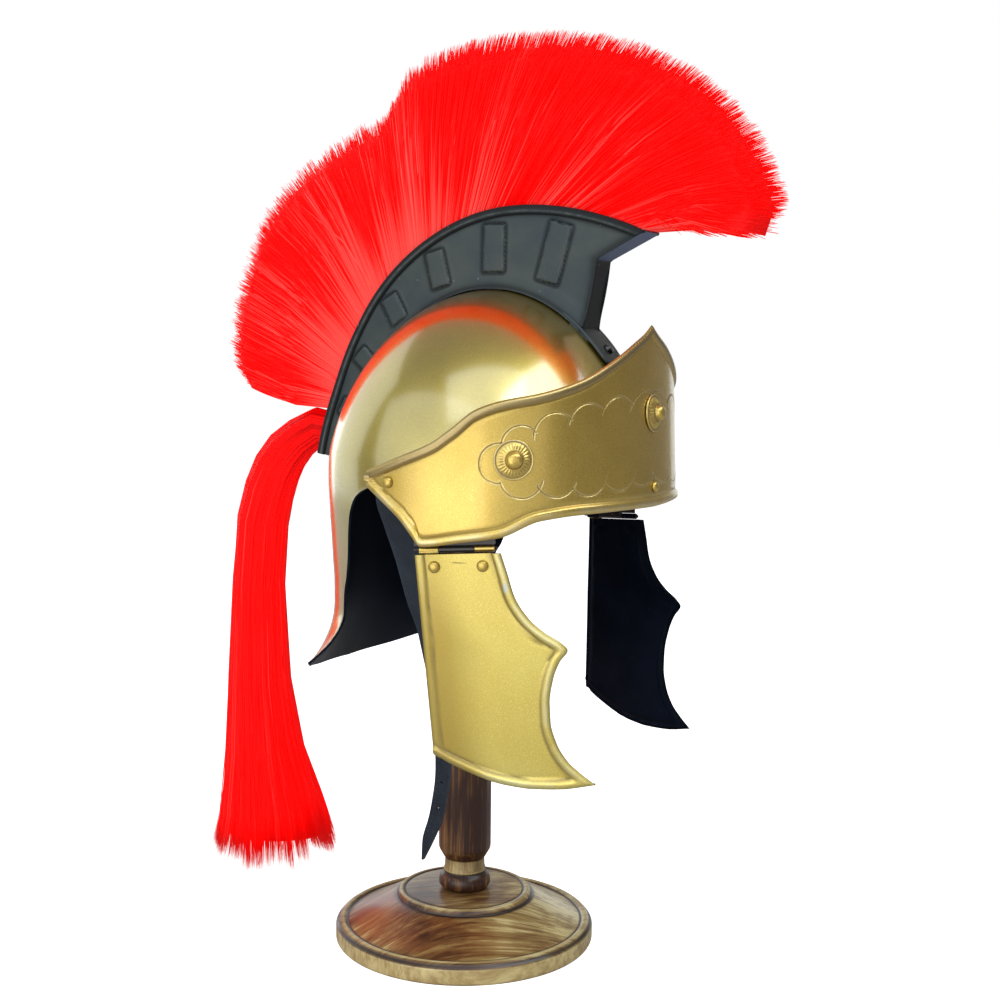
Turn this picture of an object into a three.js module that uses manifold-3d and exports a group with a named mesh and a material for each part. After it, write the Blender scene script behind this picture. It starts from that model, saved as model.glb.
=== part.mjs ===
// Centurion helmet with a standing red plume, on a turned wooden stand.
// Millimetres, +Z up. The origin is on the floor under the stand's axis, the wearer faces -Y,
// and the wearer's right side is -X.

import * as THREE from 'three';
import { mergeVertices } from 'three/addons/utils/BufferGeometryUtils.js';
import Module from 'manifold-3d';

const wasm = await Module();
wasm.setup();

// Clearances
const seatGap = 0.3;             // between pieces that rest on each other
const boreGap = 0.3;             // round a shank or a pin

// Tools that cut or join solids
const boreLength = 30;
const cutDepth = 40;             // of a tool that cuts away all beyond a face
const weld = 0.5;                // how far joined solids run into each other

// Stand
const baseRadius = 76;
const baseEdgeHeight = 9.4;
const baseHeight = 27.7;
const baseRound = 1.2;           // underside edge
const rimBeadInset = 2.2;
const rimBead = 3.4;             // pale bead round the base
const rimBeadHeight = 2.6;
const rimGroove = 2;
const plateauRadius = 42.3;
const plateauBead = 3.4;
const plateauStep = 2.9;         // from the streaked dome up to the plateau
const plateauGroove = 1.6;       // inside the plateau's bead
const plateauGrooveDepth = 0.7;
const postRadius = 15.4;
const collarRadius = 15.3;
const collarHeight = 8.6;
const neckRadius = 11.7;
const neckTop = 17;              // above the collar's foot
const shoulderTop = 22.4;
const spigotRadius = 8;
const spigotDepth = 14;
const headClearance = 0.95;      // over the post, inside the bowl's flat facets

// Bowl: half an ellipsoid over an elliptic wall. Heights are from its widest line.
const bowlWidestZ = 258;
const bowlHalfWidth = 106.5;
const bowlHalfLength = 95;
const bowlCrownHeight = 122.5;
const bowlCentreY = -19.5;
const bowlWall = 1.4;
const rimRise = 10;              // front rim, hidden behind the brow band
const notchRise = 17.5;          // top of the ear notch
const cornerDrop = 81;           // pointed corner of the neck guard
const guardDrop = 97;            // neck guard at the back of the neck
const flareDrop = 53;            // where the neck guard starts to turn out
const neckFlare = 20;            // how far the corner stands out from the nape
const napeDrawIn = 6;            // how far the back draws in above the neck guard

// Brow band, its heights from the bowl's widest line
const bandWall = 1.5;
const bandBulge = 5;             // stand-off from the bowl, halfway round each side
const bandLean = 0.04;           // backward lean of the front, per millimetre of height
const bandLeanRise = 12;
const bandPeakRise = 102.2;
const bandFootRise = 4.3;
const bandCornerDrop = 12.1;
const beadWidth = 5;
const beadHeight = 1.5;

// Rivets and rosettes on the band: the angle from the front, the share of the band's height
const rivetRadius = 3.1;
const rivetHeight = 2.2;
const shankRadius = 1.3;
const tailRadius = 2.2;
const tailHeight = 0.8;
const rosetteRadius = 10.8;
const rosetteEdge = 0.5;
const rosetteHeight = 3.2;
const knobRadius = 4.6;
const knobHeight = 3.4;
const sideRivet = { angle: 93.2, up: 0.55 };
const frontRivet = { angle: 0, up: 0.11 };
const sideRosette = { angle: 54.9, up: 0.545 };
const frontRosette = { angle: 0, up: 0.518 };

// Crest holder: a channel along the top of the bowl. Angles are from straight up, to the back.
const crestDepthFront = 65;
const crestHalfWidth = 9.5;
const crestFootHalfWidth = 13;
const crestFootHeight = 13;
const crestFlare = 0.8;          // of the side, halfway down its flared foot
const crestSheet = 1.2;
const crestSeat = 0.75;          // above the bowl at the middle of the foot
const crestFootDrop = 0.8;       // how much lower the foot's edges reach
const crestRimWidth = 1.6;
const crestRimHeight = 3;
const crestFrontAngle = -31.5;
const crestRearAngle = 77.5;
const crestEndWall = 0.6;        // degrees that the closed rear end takes
const kinkAngle = -25.2;
const kinkDepth = 26;            // from the front tip in to the kink
const toeAngle = -30;
const panelWidth = 14.6;
const panelRelief = 1;
const panelFoot = 0.2;           // share of the channel's depth below a panel
const panelMargin = 8.6;         // from a panel to the rim
const tabWidth = 24;
const tabSheet = 1.5;
const tabSeat = 0.5;

// Plume
const brushDepth = 16;           // how deep the brush sits in the channel
const fanReach = 266;            // longest bristle tip from the bowl's centre
const fanHalfWidth = 18;
const hairDepth = 8;             // how deep the hank's root sits in the channel
const hairLength = 265;
const hairSetBack = 62.5;
const hairHalfDepth = 17.5;

// Cheek guards and their hinges
const guardWall = 1.3;
const guardRimWidth = 5;
const guardRimHeight = 1.2;
const guardTopEdge = 44.7;
const guardLength = 122.9;
const guardTilt = 5.5;           // inward lean, degrees
const hingeAngle = 84.6;         // from the front, where the hinge's rear end lies
const hingeInset = 2.5;          // inside the bowl's plan
const hingeDrop = 2.2;           // below the band's corner
const hingeToeIn = 17.4;         // degrees from the front-to-back line
const hingeRise = 3.2;           // degrees, up towards the front
const barrelOverhang = 1;        // behind the guard's rear edge
const barrelRadius = 1.7;
const pinRadius = 0.7;
const pinHeadLength = 0.9;
const rearKnuckle = 13;
const midKnuckle = 18.3;
const frontKnuckle = 10.4;
const leafSheet = 0.9;
const leafDrop = 14;
const leafRise = 17;
const leafBlockShare = 0.5;      // of the fixed leaf's height that meets the band
const cheekRivetDrop = 8.4;
const cheekRivetInset = 9.8;     // from the guard's front and rear edges

// Chin strap
const strapWidth = 18;
const strapThickness = 2;
const strapLength = 217.7;       // from the side rivet to the free end
const strapInward = 52.2;        // how far the free end hangs in from the rivet
const strapSway = 20;
const strapHoleRadius = 1.2;
const strapClearance = 1.7;      // its flat top inside the curved wall

// Worked out from the sizes above
const rimZ = bowlWidestZ + rimRise;
const notchZ = bowlWidestZ + notchRise;
const guardCornerZ = bowlWidestZ - cornerDrop;
const guardMiddleZ = bowlWidestZ - guardDrop;
const flareTopZ = bowlWidestZ - flareDrop;
const bandPeakZ = bowlWidestZ + bandPeakRise;
const bandFootZ = bowlWidestZ + bandFootRise;
const bandCornerZ = bowlWidestZ - bandCornerDrop;

const radians = THREE.MathUtils.degToRad;

// Materials
function paint(color, roughness, metalness) {
  return new THREE.MeshStandardMaterial({ color, roughness, metalness });
}
const goldPaint = paint(0xb59a45, 0.35, 0.8);
const warmGold = paint(0xc8a648, 0.38, 0.8);
const blackPaint = paint(0x1c2428, 0.45, 0.3);
const redHair = paint(0xe01208, 0.6, 0);
const darkLeather = paint(0x1f262b, 0.6, 0);
const stainedWood = paint(0x5a3820, 0.5, 0);

// A closed solid from any closed geometry, its faces turned out
function solidOf(geometry) {
  const bare = geometry.index ? geometry.clone() : geometry;
  for (const name of Object.keys(bare.attributes)) {
    if (name !== 'position') bare.deleteAttribute(name);
  }
  const merged = mergeVertices(bare, 1e-4);
  const corners = merged.attributes.position.array;
  const index = merged.index.array;
  const kept = [];
  let volume = 0;
  for (let i = 0; i < index.length; i += 3) {
    const [a, b, c] = [index[i], index[i + 1], index[i + 2]];
    if (a === b || b === c || c === a) continue;
    kept.push(a, b, c);
    const p = new THREE.Vector3().fromArray(corners, a * 3);
    const q = new THREE.Vector3().fromArray(corners, b * 3);
    const r = new THREE.Vector3().fromArray(corners, c * 3);
    volume += p.dot(q.cross(r));
  }
  if (volume < 0) kept.reverse();
  return new wasm.Manifold(new wasm.Mesh({
    numProp: 3,
    vertProperties: new Float32Array(corners),
    triVerts: new Uint32Array(kept),
  }));
}

function geometryOf(solid) {
  const mesh = solid.getMesh();
  const geometry = new THREE.BufferGeometry();
  geometry.setAttribute('position', new THREE.BufferAttribute(mesh.vertProperties, 3));
  geometry.setIndex(new THREE.BufferAttribute(mesh.triVerts, 1));
  geometry.computeVertexNormals();
  return geometry;
}

function piece(name, solid, material) {
  const mesh = new THREE.Mesh(geometryOf(solid), material);
  mesh.name = name;
  return mesh;
}

function unite(solids) {
  return solids.reduce((all, next) => all.add(next));
}

function indexed(points, triangles) {
  const geometry = new THREE.BufferGeometry();
  const corners = points.flatMap((p) => p.toArray());
  geometry.setAttribute('position', new THREE.Float32BufferAttribute(corners, 3));
  geometry.setIndex(triangles);
  return geometry;
}

// A sheet with a wall, from a grid of outer points and the grid of inner points behind it.
// The first row may be one point. A sheet that goes around joins its last column to its first.
function sheetSolid(outer, inner, goesAround) {
  const points = [];
  const store = (grid) => grid.map((row) => row.map((p) => points.push(p) - 1));
  const out = store(outer);
  const inn = store(inner);
  const triangles = [];
  const quad = (a, b, c, d) => triangles.push(a, b, c, a, c, d);
  const columns = outer[1].length;
  const at = (row, column) => row[row.length === 1 ? 0 : column % columns];
  const lastColumn = goesAround ? columns : columns - 1;
  for (let r = 0; r + 1 < outer.length; r += 1) {
    for (let c = 0; c < lastColumn; c += 1) {
      quad(at(out[r], c), at(out[r], c + 1), at(out[r + 1], c + 1), at(out[r + 1], c));
      quad(at(inn[r], c), at(inn[r + 1], c), at(inn[r + 1], c + 1), at(inn[r], c + 1));
    }
    if (!goesAround) {
      quad(out[r][0], out[r + 1][0], inn[r + 1][0], inn[r][0]);
      quad(out[r + 1][lastColumn], out[r][lastColumn], inn[r][lastColumn], inn[r + 1][lastColumn]);
    }
  }
  const end = outer.length - 1;
  for (let c = 0; c < lastColumn; c += 1) {
    quad(at(out[end], c), at(out[end], c + 1), at(inn[end], c + 1), at(inn[end], c));
    if (outer[0].length > 1) {
      quad(at(out[0], c + 1), at(out[0], c), at(inn[0], c), at(inn[0], c + 1));
    }
  }
  return solidOf(indexed(points, triangles));
}

// A solid through a row of closed rings, capped with the flat form of its section
function loftSolid(rings, section) {
  const count = section.length;
  const points = rings.flat();
  const triangles = [];
  for (let r = 0; r + 1 < rings.length; r += 1) {
    for (let j = 0; j < count; j += 1) {
      const k = (j + 1) % count;
      const [a, b] = [r * count + j, r * count + k];
      triangles.push(a, b, b + count, a, b + count, a + count);
    }
  }
  const last = (rings.length - 1) * count;
  for (const [a, b, c] of THREE.ShapeUtils.triangulateShape(section, [])) {
    const forward = THREE.ShapeUtils.isClockWise(section);
    if (forward) {
      triangles.push(a, b, c, last + c, last + b, last + a);
    } else {
      triangles.push(c, b, a, last + a, last + b, last + c);
    }
  }
  return solidOf(indexed(points, triangles));
}

// A turned piece about +Z; the profile is [radius, height] from axis to axis
function turnedSolid(profile, sides) {
  const geometry = new THREE.LatheGeometry(profile.map(([r, z]) => new THREE.Vector2(r, z)), sides);
  geometry.rotateX(Math.PI / 2);
  return solidOf(geometry);
}

// A plate of the given outline in X and Y, with its lower face at the given height
function plateSolid(outline, from, to) {
  const shape = new THREE.Shape(outline.map(([x, y]) => new THREE.Vector2(x, y)));
  const geometry = new THREE.ExtrudeGeometry(shape, { depth: to - from, bevelEnabled: false });
  geometry.translate(0, 0, from);
  return solidOf(geometry);
}

function boxSolid(low, high) {
  const size = high.map((value, i) => value - low[i]);
  const geometry = new THREE.BoxGeometry(...size);
  geometry.translate(low[0] + size[0] / 2, low[1] + size[1] / 2, low[2] + size[2] / 2);
  return solidOf(geometry);
}

function rodSolid(radius, length, sides) {
  const geometry = new THREE.CylinderGeometry(radius, radius, length, sides);
  geometry.rotateX(Math.PI / 2);
  return solidOf(geometry);
}

// Moves a solid whose own +Z is to lie along the given direction, with its origin at the place
function placed(solid, place, direction) {
  const turn = new THREE.Quaternion().setFromUnitVectors(new THREE.Vector3(0, 0, 1), direction);
  const matrix = new THREE.Matrix4().compose(place, turn, new THREE.Vector3(1, 1, 1));
  return solid.transform(matrix.elements);
}

// The value of a named column at a key, between the rows of a table sorted by that key
function lookUp(table, key, column, at) {
  const next = table.findIndex((row) => row[key] >= at);
  if (next < 0) return table[table.length - 1][column];
  if (next === 0) return table[0][column];
  const [low, high] = [table[next - 1], table[next]];
  const share = (at - low[key]) / (high[key] - low[key]);
  return low[column] + (high[column] - low[column]) * share;
}

// Bowl wall. The angle runs from the front round the wearer's right side to the back (180).

// Lower edge from the ear notch round the neck guard: drop is the share from the notch to the
// corner, middle the share on from the corner to the back of the neck, flare of the corner's.
const bowlEdge = [
  { angle: 101, drop: 0, middle: 0, flare: 1 },
  { angle: 109.2, drop: 0.061, middle: 0, flare: 1 },
  { angle: 113.4, drop: 0.148, middle: 0, flare: 1 },
  { angle: 115.6, drop: 0.26, middle: 0, flare: 1 },
  { angle: 117, drop: 0.4, middle: 0, flare: 1 },
  { angle: 119.3, drop: 0.515, middle: 0, flare: 1 },
  { angle: 122.8, drop: 0.636, middle: 0, flare: 1 },
  { angle: 124.2, drop: 1, middle: 0, flare: 1 },
  { angle: 129, drop: 1, middle: 0.2, flare: 0.85 },
  { angle: 136, drop: 1, middle: 0.36, flare: 0.765 },
  { angle: 146, drop: 1, middle: 0.6, flare: 0.72 },
  { angle: 162, drop: 1, middle: 0.89, flare: 0.72 },
  { angle: 180, drop: 1, middle: 1, flare: 0.72 },
];

// How far the back has drawn in, as a share of the whole; down is the share of the way from the
// widest line to where the neck guard turns out, and less than 0 above that line
const napeRows = [
  { down: -0.604, share: 0 },
  { down: -0.453, share: 0.15 },
  { down: -0.132, share: 0.45 },
  { down: 0.208, share: 0.68 },
  { down: 0.566, share: 0.87 },
  { down: 0.774, share: 0.98 },
  { down: 1, share: 1 },
];
const notchStart = 86;           // where the hidden front rim starts to rise to the notch
const napeStart = 92;            // round the side, where the draw-in starts
const napeFull = 126;
const frontAngles = [0, 11, 23.4, 34.8, 47.2, 58.5, 70, 79, 88.8, 95];
const wallTopRise = 14;          // of the even wall rows, above the ear notch

function bowlEdgeZ(angle) {
  if (angle <= notchStart) return rimZ;
  const first = bowlEdge[0].angle;
  if (angle < first) return rimZ + (notchZ - rimZ) * (angle - notchStart) / (first - notchStart);
  const drop = lookUp(bowlEdge, 'angle', 'drop', angle);
  const middle = lookUp(bowlEdge, 'angle', 'middle', angle);
  return notchZ - (notchZ - guardCornerZ) * drop - (guardCornerZ - guardMiddleZ) * middle;
}

function planPoint(angle, z, offset) {
  const t = radians(angle);
  const [across, ahead] = [-Math.sin(t), -Math.cos(t)];
  const normal = new THREE.Vector3(across / bowlHalfWidth, ahead / bowlHalfLength, 0).normalize();
  const foot = new THREE.Vector3(bowlHalfWidth * across, bowlCentreY + bowlHalfLength * ahead, z);
  return foot.addScaledVector(normal, offset);
}

function napeOffset(angle, z) {
  const around = Math.abs(angle);
  const weight = THREE.MathUtils.smoothstep(around, napeStart, napeFull);
  const edgeZ = Math.min(bowlEdgeZ(around), guardCornerZ);
  const turned = Math.max(0, (flareTopZ - z) / (flareTopZ - edgeZ));
  const flare = neckFlare * lookUp(bowlEdge, 'angle', 'flare', around) * turned ** 2;
  const down = (bowlWidestZ - z) / flareDrop;
  return flare - napeDrawIn * weight * lookUp(napeRows, 'down', 'share', down);
}

function bowlPoint(angle, z, offset) {
  const away = offset + napeOffset(angle, z);
  if (z <= bowlWidestZ) return planPoint(angle, z, away);
  const rise = z - bowlWidestZ;
  const slice = Math.sqrt(Math.max(0, 1 - (rise / bowlCrownHeight) ** 2));
  const t = radians(angle);
  const point = new THREE.Vector3(
    -bowlHalfWidth * slice * Math.sin(t),
    -bowlHalfLength * slice * Math.cos(t),
    rise,
  );
  const normal = new THREE.Vector3(
    point.x / bowlHalfWidth ** 2,
    point.y / bowlHalfLength ** 2,
    rise / bowlCrownHeight ** 2,
  ).normalize();
  return point.add(new THREE.Vector3(0, bowlCentreY, bowlWidestZ)).addScaledVector(normal, away);
}

function bowlSolid() {
  const half = [...frontAngles, ...bowlEdge.map((row) => row.angle)];
  const angles = [...half, ...half.slice(1, -1).reverse().map((angle) => -angle)];
  const domeRows = 6;
  const wallRows = 8;
  const wallTopZ = notchZ + wallTopRise;
  const domeEnd = Math.acos((wallTopZ - bowlWidestZ) / bowlCrownHeight);
  const grid = (offset) => {
    const rows = [[bowlPoint(0, bowlWidestZ + bowlCrownHeight, offset)]];
    for (let i = 1; i < domeRows; i += 1) {
      const z = bowlWidestZ + bowlCrownHeight * Math.cos(domeEnd * i / domeRows);
      rows.push(angles.map((angle) => bowlPoint(angle, z, offset)));
    }
    for (let i = 0; i <= wallRows; i += 1) {
      const z = (angle) => wallTopZ + (bowlEdgeZ(Math.abs(angle)) - wallTopZ) * i / wallRows;
      rows.push(angles.map((angle) => bowlPoint(angle, z(angle), offset)));
    }
    return rows;
  };
  return sheetSolid(grid(0), grid(-bowlWall), true);
}

// Brow band. Edge tables: top is the share of the way from the corner up to the peak, and foot
// the share of the way from the corner up to the front foot, by the angle from the front.
const bandTop = [
  { angle: 0, share: 1 },
  { angle: 5, share: 0.957 },
  { angle: 11, share: 0.917 },
  { angle: 23.4, share: 0.825 },
  { angle: 34.8, share: 0.745 },
  { angle: 47.2, share: 0.687 },
  { angle: 58.5, share: 0.652 },
  { angle: 65.7, share: 0.612 },
  { angle: 72.9, share: 0.527 },
  { angle: 79, share: 0.463 },
  { angle: 88.8, share: 0.402 },
  { angle: 95, share: 0.365 },
  { angle: 101, share: 0.33 },
];
const bandFoot = [
  { angle: 0, share: 1 },
  { angle: 19.5, share: 1.03 },
  { angle: 34.8, share: 1.005 },
  { angle: 47.2, share: 0.862 },
  { angle: 58.5, share: 0.36 },
  { angle: 70, share: 0.18 },
  { angle: 82, share: 0 },
  { angle: 85.3, share: 0.36 },
  { angle: 88.8, share: 0.774 },
  { angle: 95, share: 1.3 },
  { angle: 101, share: 1.768 },
];

function bandTopZ(angle) {
  return bandCornerZ + (bandPeakZ - bandCornerZ) * lookUp(bandTop, 'angle', 'share', Math.abs(angle));
}

function bandFootAtZ(angle) {
  return bandCornerZ + (bandFootZ - bandCornerZ) * lookUp(bandFoot, 'angle', 'share', Math.abs(angle));
}

function bandPoint(angle, z, offset) {
  const t = radians(angle);
  const bulge = bandBulge * Math.sin(2 * t) ** 2;
  const lean = bandLean * Math.max(0, z - bowlWidestZ - bandLeanRise) * Math.max(0, Math.cos(t));
  return planPoint(angle, z, seatGap + bulge - lean + offset);
}

function bandNormal(angle, z) {
  const around = bandPoint(angle + 1, z, 0).sub(bandPoint(angle - 1, z, 0));
  const up = bandPoint(angle, z + 1, 0).sub(bandPoint(angle, z - 1, 0));
  return up.cross(around).normalize();
}

const leastStep = 0.6;           // degrees between two columns of the band

function bandGrid(offset, beads) {
  const side = [...new Set([...bandTop, ...bandFoot].map((row) => row.angle))].sort((a, b) => a - b);
  const kept = side.filter((angle, i) => i === 0 || angle - side[i - 1] > leastStep);
  const angles = [...kept.slice(1).reverse().map((angle) => -angle), ...kept];
  const stations = [
    { bead: 0, share: 0, relief: 0.5 },
    { bead: 0.45, share: 0, relief: 1 },
    { bead: 1, share: 0, relief: 0 },
    { bead: 0, share: 0.5, relief: 0 },
    { bead: -1, share: 1, relief: 0 },
    { bead: -0.45, share: 1, relief: 1 },
    { bead: 0, share: 1, relief: 0.5 },
  ];
  return stations.map(({ bead, share, relief }) => angles.map((angle) => {
    const foot = bandFootAtZ(angle);
    const height = bandTopZ(angle) - foot;
    const z = foot + height * share + bead * Math.min(beadWidth, height * 0.3);
    return bandPoint(angle, z, offset + (beads ? relief * beadHeight : 0));
  }));
}

function rivetSolid(grip, sides) {
  return turnedSolid([
    [0, -grip - tailHeight],
    [tailRadius, -grip - tailHeight],
    [tailRadius, -grip],
    [shankRadius, -grip],
    [shankRadius, 0],
    [rivetRadius, 0],
    [rivetRadius * 0.92, rivetHeight * 0.45],
    [rivetRadius * 0.55, rivetHeight * 0.87],
    [0, rivetHeight],
  ], sides);
}

function rosetteSolid(grip, sides) {
  return turnedSolid([
    [0, -grip - tailHeight],
    [tailRadius, -grip - tailHeight],
    [tailRadius, -grip],
    [shankRadius, -grip],
    [shankRadius, 0],
    [rosetteRadius, 0],
    [rosetteRadius, rosetteEdge],
    [rosetteRadius * 0.8, rosetteHeight * 0.5],
    [knobRadius, rosetteHeight],
    [knobRadius * 0.96, rosetteHeight + knobHeight * 0.45],
    [knobRadius * 0.6, rosetteHeight + knobHeight * 0.88],
    [0, rosetteHeight + knobHeight],
  ], sides);
}

function boreSolid() {
  return rodSolid(shankRadius + boreGap, boreLength, 10);
}

function spotZ({ angle, up }) {
  const foot = bandFootAtZ(angle);
  return foot + (bandTopZ(angle) - foot) * up;
}

// Fasteners on the band: how far the shank grips, and what lies behind the band there
function bandFastener(spot, grip, makeSolid, sides) {
  const z = spotZ(spot);
  const place = bandPoint(spot.angle, z, bandWall + seatGap);
  return placed(makeSolid(grip, sides), place, bandNormal(spot.angle, z));
}

function bandBore(spot) {
  const z = spotZ(spot);
  return placed(boreSolid(), bandPoint(spot.angle, z, 0), bandNormal(spot.angle, z));
}

// What each fastener grips, with the slack that the curved walls leave
const curveSlack = 1.2;
const taperSlack = 2;            // the bowl narrows towards the rivets
const domeSlack = 1.5;
const bandGrip = bandWall + curveSlack;
const bowlGrip = bandGrip + bowlWall + taperSlack;
const strapGrip = bowlGrip + strapThickness + strapClearance;

const otherSide = ({ angle, up }) => ({ angle: -angle, up });
const bandSpots = [
  { name: 'band_rivet_right', spot: sideRivet, grip: strapGrip, make: rivetSolid, sides: 8 },
  { name: 'band_rivet_left', spot: otherSide(sideRivet), grip: bowlGrip, make: rivetSolid, sides: 8 },
  { name: 'band_rivet_front', spot: frontRivet, grip: bowlGrip, make: rivetSolid, sides: 8 },
  { name: 'rosette_right', spot: sideRosette, grip: bandGrip, make: rosetteSolid, sides: 12 },
  { name: 'rosette_left', spot: otherSide(sideRosette), grip: bandGrip, make: rosetteSolid, sides: 12 },
  { name: 'rosette_front', spot: frontRosette, grip: bandGrip, make: rosetteSolid, sides: 12 },
];

// Crest: angles are from straight up about the bowl's centre, positive towards the back

function bowlReach(angle) {
  const t = radians(angle);
  return 1 / Math.hypot(Math.sin(t) / bowlHalfLength, Math.cos(t) / bowlCrownHeight);
}

function crestPoint(x, angle, reach) {
  const t = radians(angle);
  return new THREE.Vector3(x, bowlCentreY + reach * Math.sin(t), bowlWidestZ + reach * Math.cos(t));
}

// Channel depth as a share of the depth at the front tip
const crestDepth = [
  { angle: crestFrontAngle, share: 1 },
  { angle: -20, share: 0.855 },
  { angle: -10, share: 0.755 },
  { angle: 0, share: 0.68 },
  { angle: 15, share: 0.575 },
  { angle: 30, share: 0.49 },
  { angle: 45, share: 0.41 },
  { angle: 60, share: 0.368 },
  { angle: crestRearAngle, share: 0.385 },
];

function crestReach(angle) {
  return bowlReach(angle) + crestDepthFront * lookUp(crestDepth, 'angle', 'share', angle);
}

// The raised panels, by the angle of their middle and their share of the widest
const crestPanels = [
  { angle: -15.6, width: 1 },
  { angle: -0.8, width: 0.97 },
  { angle: 14.4, width: 0.85 },
  { angle: 29.6, width: 0.82 },
  { angle: 45.5, width: 0.79 },
  { angle: 61, width: 0.77 },
];

const crestStations = [
  -44, -38, crestFrontAngle, -26, -20, -13, -6, 0, 8, 16, 24, 32, 40, 48, 56, 63, 70, crestRearAngle,
];

// Side profile of the channel: half widths at heights above the bowl, mirrored to the far side
function crestSection(angle, inset, top) {
  const depth = crestReach(angle) - bowlReach(angle);
  const foot = crestSeat + inset;
  const rimFoot = depth - crestRimHeight;
  const side = [
    [0, foot],
    [crestFootHalfWidth - inset, foot - crestFootDrop],
    [crestHalfWidth + crestFlare - inset, crestFootHeight * 0.45],
    [crestHalfWidth - inset, crestFootHeight],
    [crestHalfWidth - inset, rimFoot],
  ];
  if (inset > 0) {
    side.push([crestHalfWidth - inset, depth + top]);
  } else {
    side.push([crestHalfWidth + crestRimWidth, rimFoot + crestRimHeight * 0.3]);
    side.push([crestHalfWidth + crestRimWidth, depth]);
  }
  return [...side, ...side.slice(1).reverse().map(([x, y]) => [-x, y])];
}

function crestLoft(stations, inset, top) {
  const rings = stations.map((angle) => crestSection(angle, inset, top)
    .map(([x, height]) => crestPoint(x, angle, bowlReach(angle) + height)));
  const flat = crestSection(0, inset, top).map(([x, y]) => new THREE.Vector2(x, y));
  return loftSolid(rings, flat);
}

// An outline in the middle plane, as [y, z], pressed through the whole width
function throughWidth(outline, halfWidth) {
  const solid = plateSolid(outline, -halfWidth, halfWidth);
  const turn = new THREE.Matrix4().makeBasis(
    new THREE.Vector3(0, 1, 0),
    new THREE.Vector3(0, 0, 1),
    new THREE.Vector3(1, 0, 0),
  );
  return solid.transform(turn.elements);
}

// What lies behind the channel's kinked front: slanting in from the tip, then down to the bowl
const crestTip = crestPoint(0, crestFrontAngle, crestReach(crestFrontAngle));
const crestKink = crestPoint(0, kinkAngle, crestReach(crestFrontAngle) - kinkDepth);
const crestToe = crestPoint(0, toeAngle, bowlReach(toeAngle));

function behindFront(inset) {
  const far = fanReach;
  return throughWidth([
    [crestTip.y + inset, crestTip.z + far],
    [crestTip.y + inset, crestTip.z + inset * 0.4],
    [crestKink.y + inset, crestKink.z + inset * 0.4],
    [crestToe.y + inset, crestToe.z],
    [crestToe.y + inset, crestToe.z - cutDepth],
    [far, bowlWidestZ - cutDepth],
    [far, crestTip.z + far],
  ], cutDepth);
}

function crestPanelSolids() {
  return crestPanels.map(({ angle, width }) => {
    const depth = crestReach(angle) - bowlReach(angle);
    const low = bowlReach(angle) + depth * panelFoot;
    const high = crestReach(angle) - panelMargin;
    const half = (reach) => THREE.MathUtils.radToDeg(panelWidth * width / 2 / reach);
    const corner = (reach, sign) => crestPoint(0, angle + sign * half(reach), reach);
    const corners = [corner(low, -1), corner(low, 1), corner(high, 1), corner(high, -1)];
    return throughWidth(corners.map((p) => [p.y, p.z]), crestHalfWidth + panelRelief);
  });
}

// A place on the front of the bowl, by its distance from the middle and the share of the crown's
// height
function frontPoint(x, up, offset) {
  const ahead = bowlHalfLength * Math.sqrt(1 - up ** 2 - (x / bowlHalfWidth) ** 2);
  const point = new THREE.Vector3(x, -ahead, up * bowlCrownHeight);
  const normal = new THREE.Vector3(
    point.x / bowlHalfWidth ** 2,
    point.y / bowlHalfLength ** 2,
    point.z / bowlCrownHeight ** 2,
  ).normalize();
  return point.add(new THREE.Vector3(0, bowlCentreY, bowlWidestZ)).addScaledVector(normal, offset);
}

// The tab's width as a share, by the share of the crown's height
const tabRows = [
  { up: 0.873, width: 1 },
  { up: 0.816, width: 1 },
  { up: 0.759, width: 1 },
  { up: 0.702, width: 0.97 },
  { up: 0.653, width: 0.8 },
  { up: 0.629, width: 0.45 },
];
const tabRivetUp = 0.716;

function crestTabSolid() {
  const grid = (offset) => tabRows.map(({ up, width }) => [-1, -0.5, 0, 0.5, 1].map((across) => (
    frontPoint(across * width * tabWidth / 2, up, tabSeat + offset)
  )));
  return sheetSolid(grid(tabSheet), grid(0), false);
}

const tabRivetPlace = frontPoint(0, tabRivetUp, tabSeat);
const tabRivetDirection = frontPoint(0, tabRivetUp, 1).sub(frontPoint(0, tabRivetUp, 0)).normalize();

function crestHolderSolid() {
  const innerStations = [...crestStations.slice(0, -1), crestRearAngle - crestEndWall];
  const shell = crestLoft(crestStations, 0, 0).add(unite(crestPanelSolids())).intersect(behindFront(0));
  const hollow = crestLoft(innerStations, crestSheet, cutDepth).intersect(behindFront(crestSheet));
  const channel = shell.subtract(hollow);
  const bore = placed(boreSolid(), tabRivetPlace, tabRivetDirection);
  return channel.add(crestTabSolid()).subtract(bore);
}

// Plume. Tip angle about the bowl's centre and reach as a share of the longest, from the front
const fanTips = [
  { along: 0, angle: -47.5, reach: 0.81 },
  { along: 0.03, angle: -45, reach: 0.875 },
  { along: 0.07, angle: -42, reach: 0.93 },
  { along: 0.13, angle: -34, reach: 0.96 },
  { along: 0.2, angle: -26, reach: 0.982 },
  { along: 0.28, angle: -16, reach: 1 },
  { along: 0.38, angle: -4, reach: 0.992 },
  { along: 0.46, angle: 5, reach: 0.975 },
  { along: 0.52, angle: 12, reach: 0.955 },
  { along: 0.58, angle: 19, reach: 0.9 },
  { along: 0.65, angle: 27, reach: 0.885 },
  { along: 0.72, angle: 36, reach: 0.885 },
  { along: 0.79, angle: 44, reach: 0.878 },
  { along: 0.86, angle: 52, reach: 0.85 },
  { along: 0.92, angle: 60, reach: 0.815 },
  { along: 0.96, angle: 65, reach: 0.79 },
  { along: 1, angle: 68.5, reach: 0.735 },
];
const fanFrontRoot = -30.3;
const fanRearRoot = 65.5;
const fanLocks = 24;
const lockNotch = 0.02;         // how much shorter a lock's edge is than its middle
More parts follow.
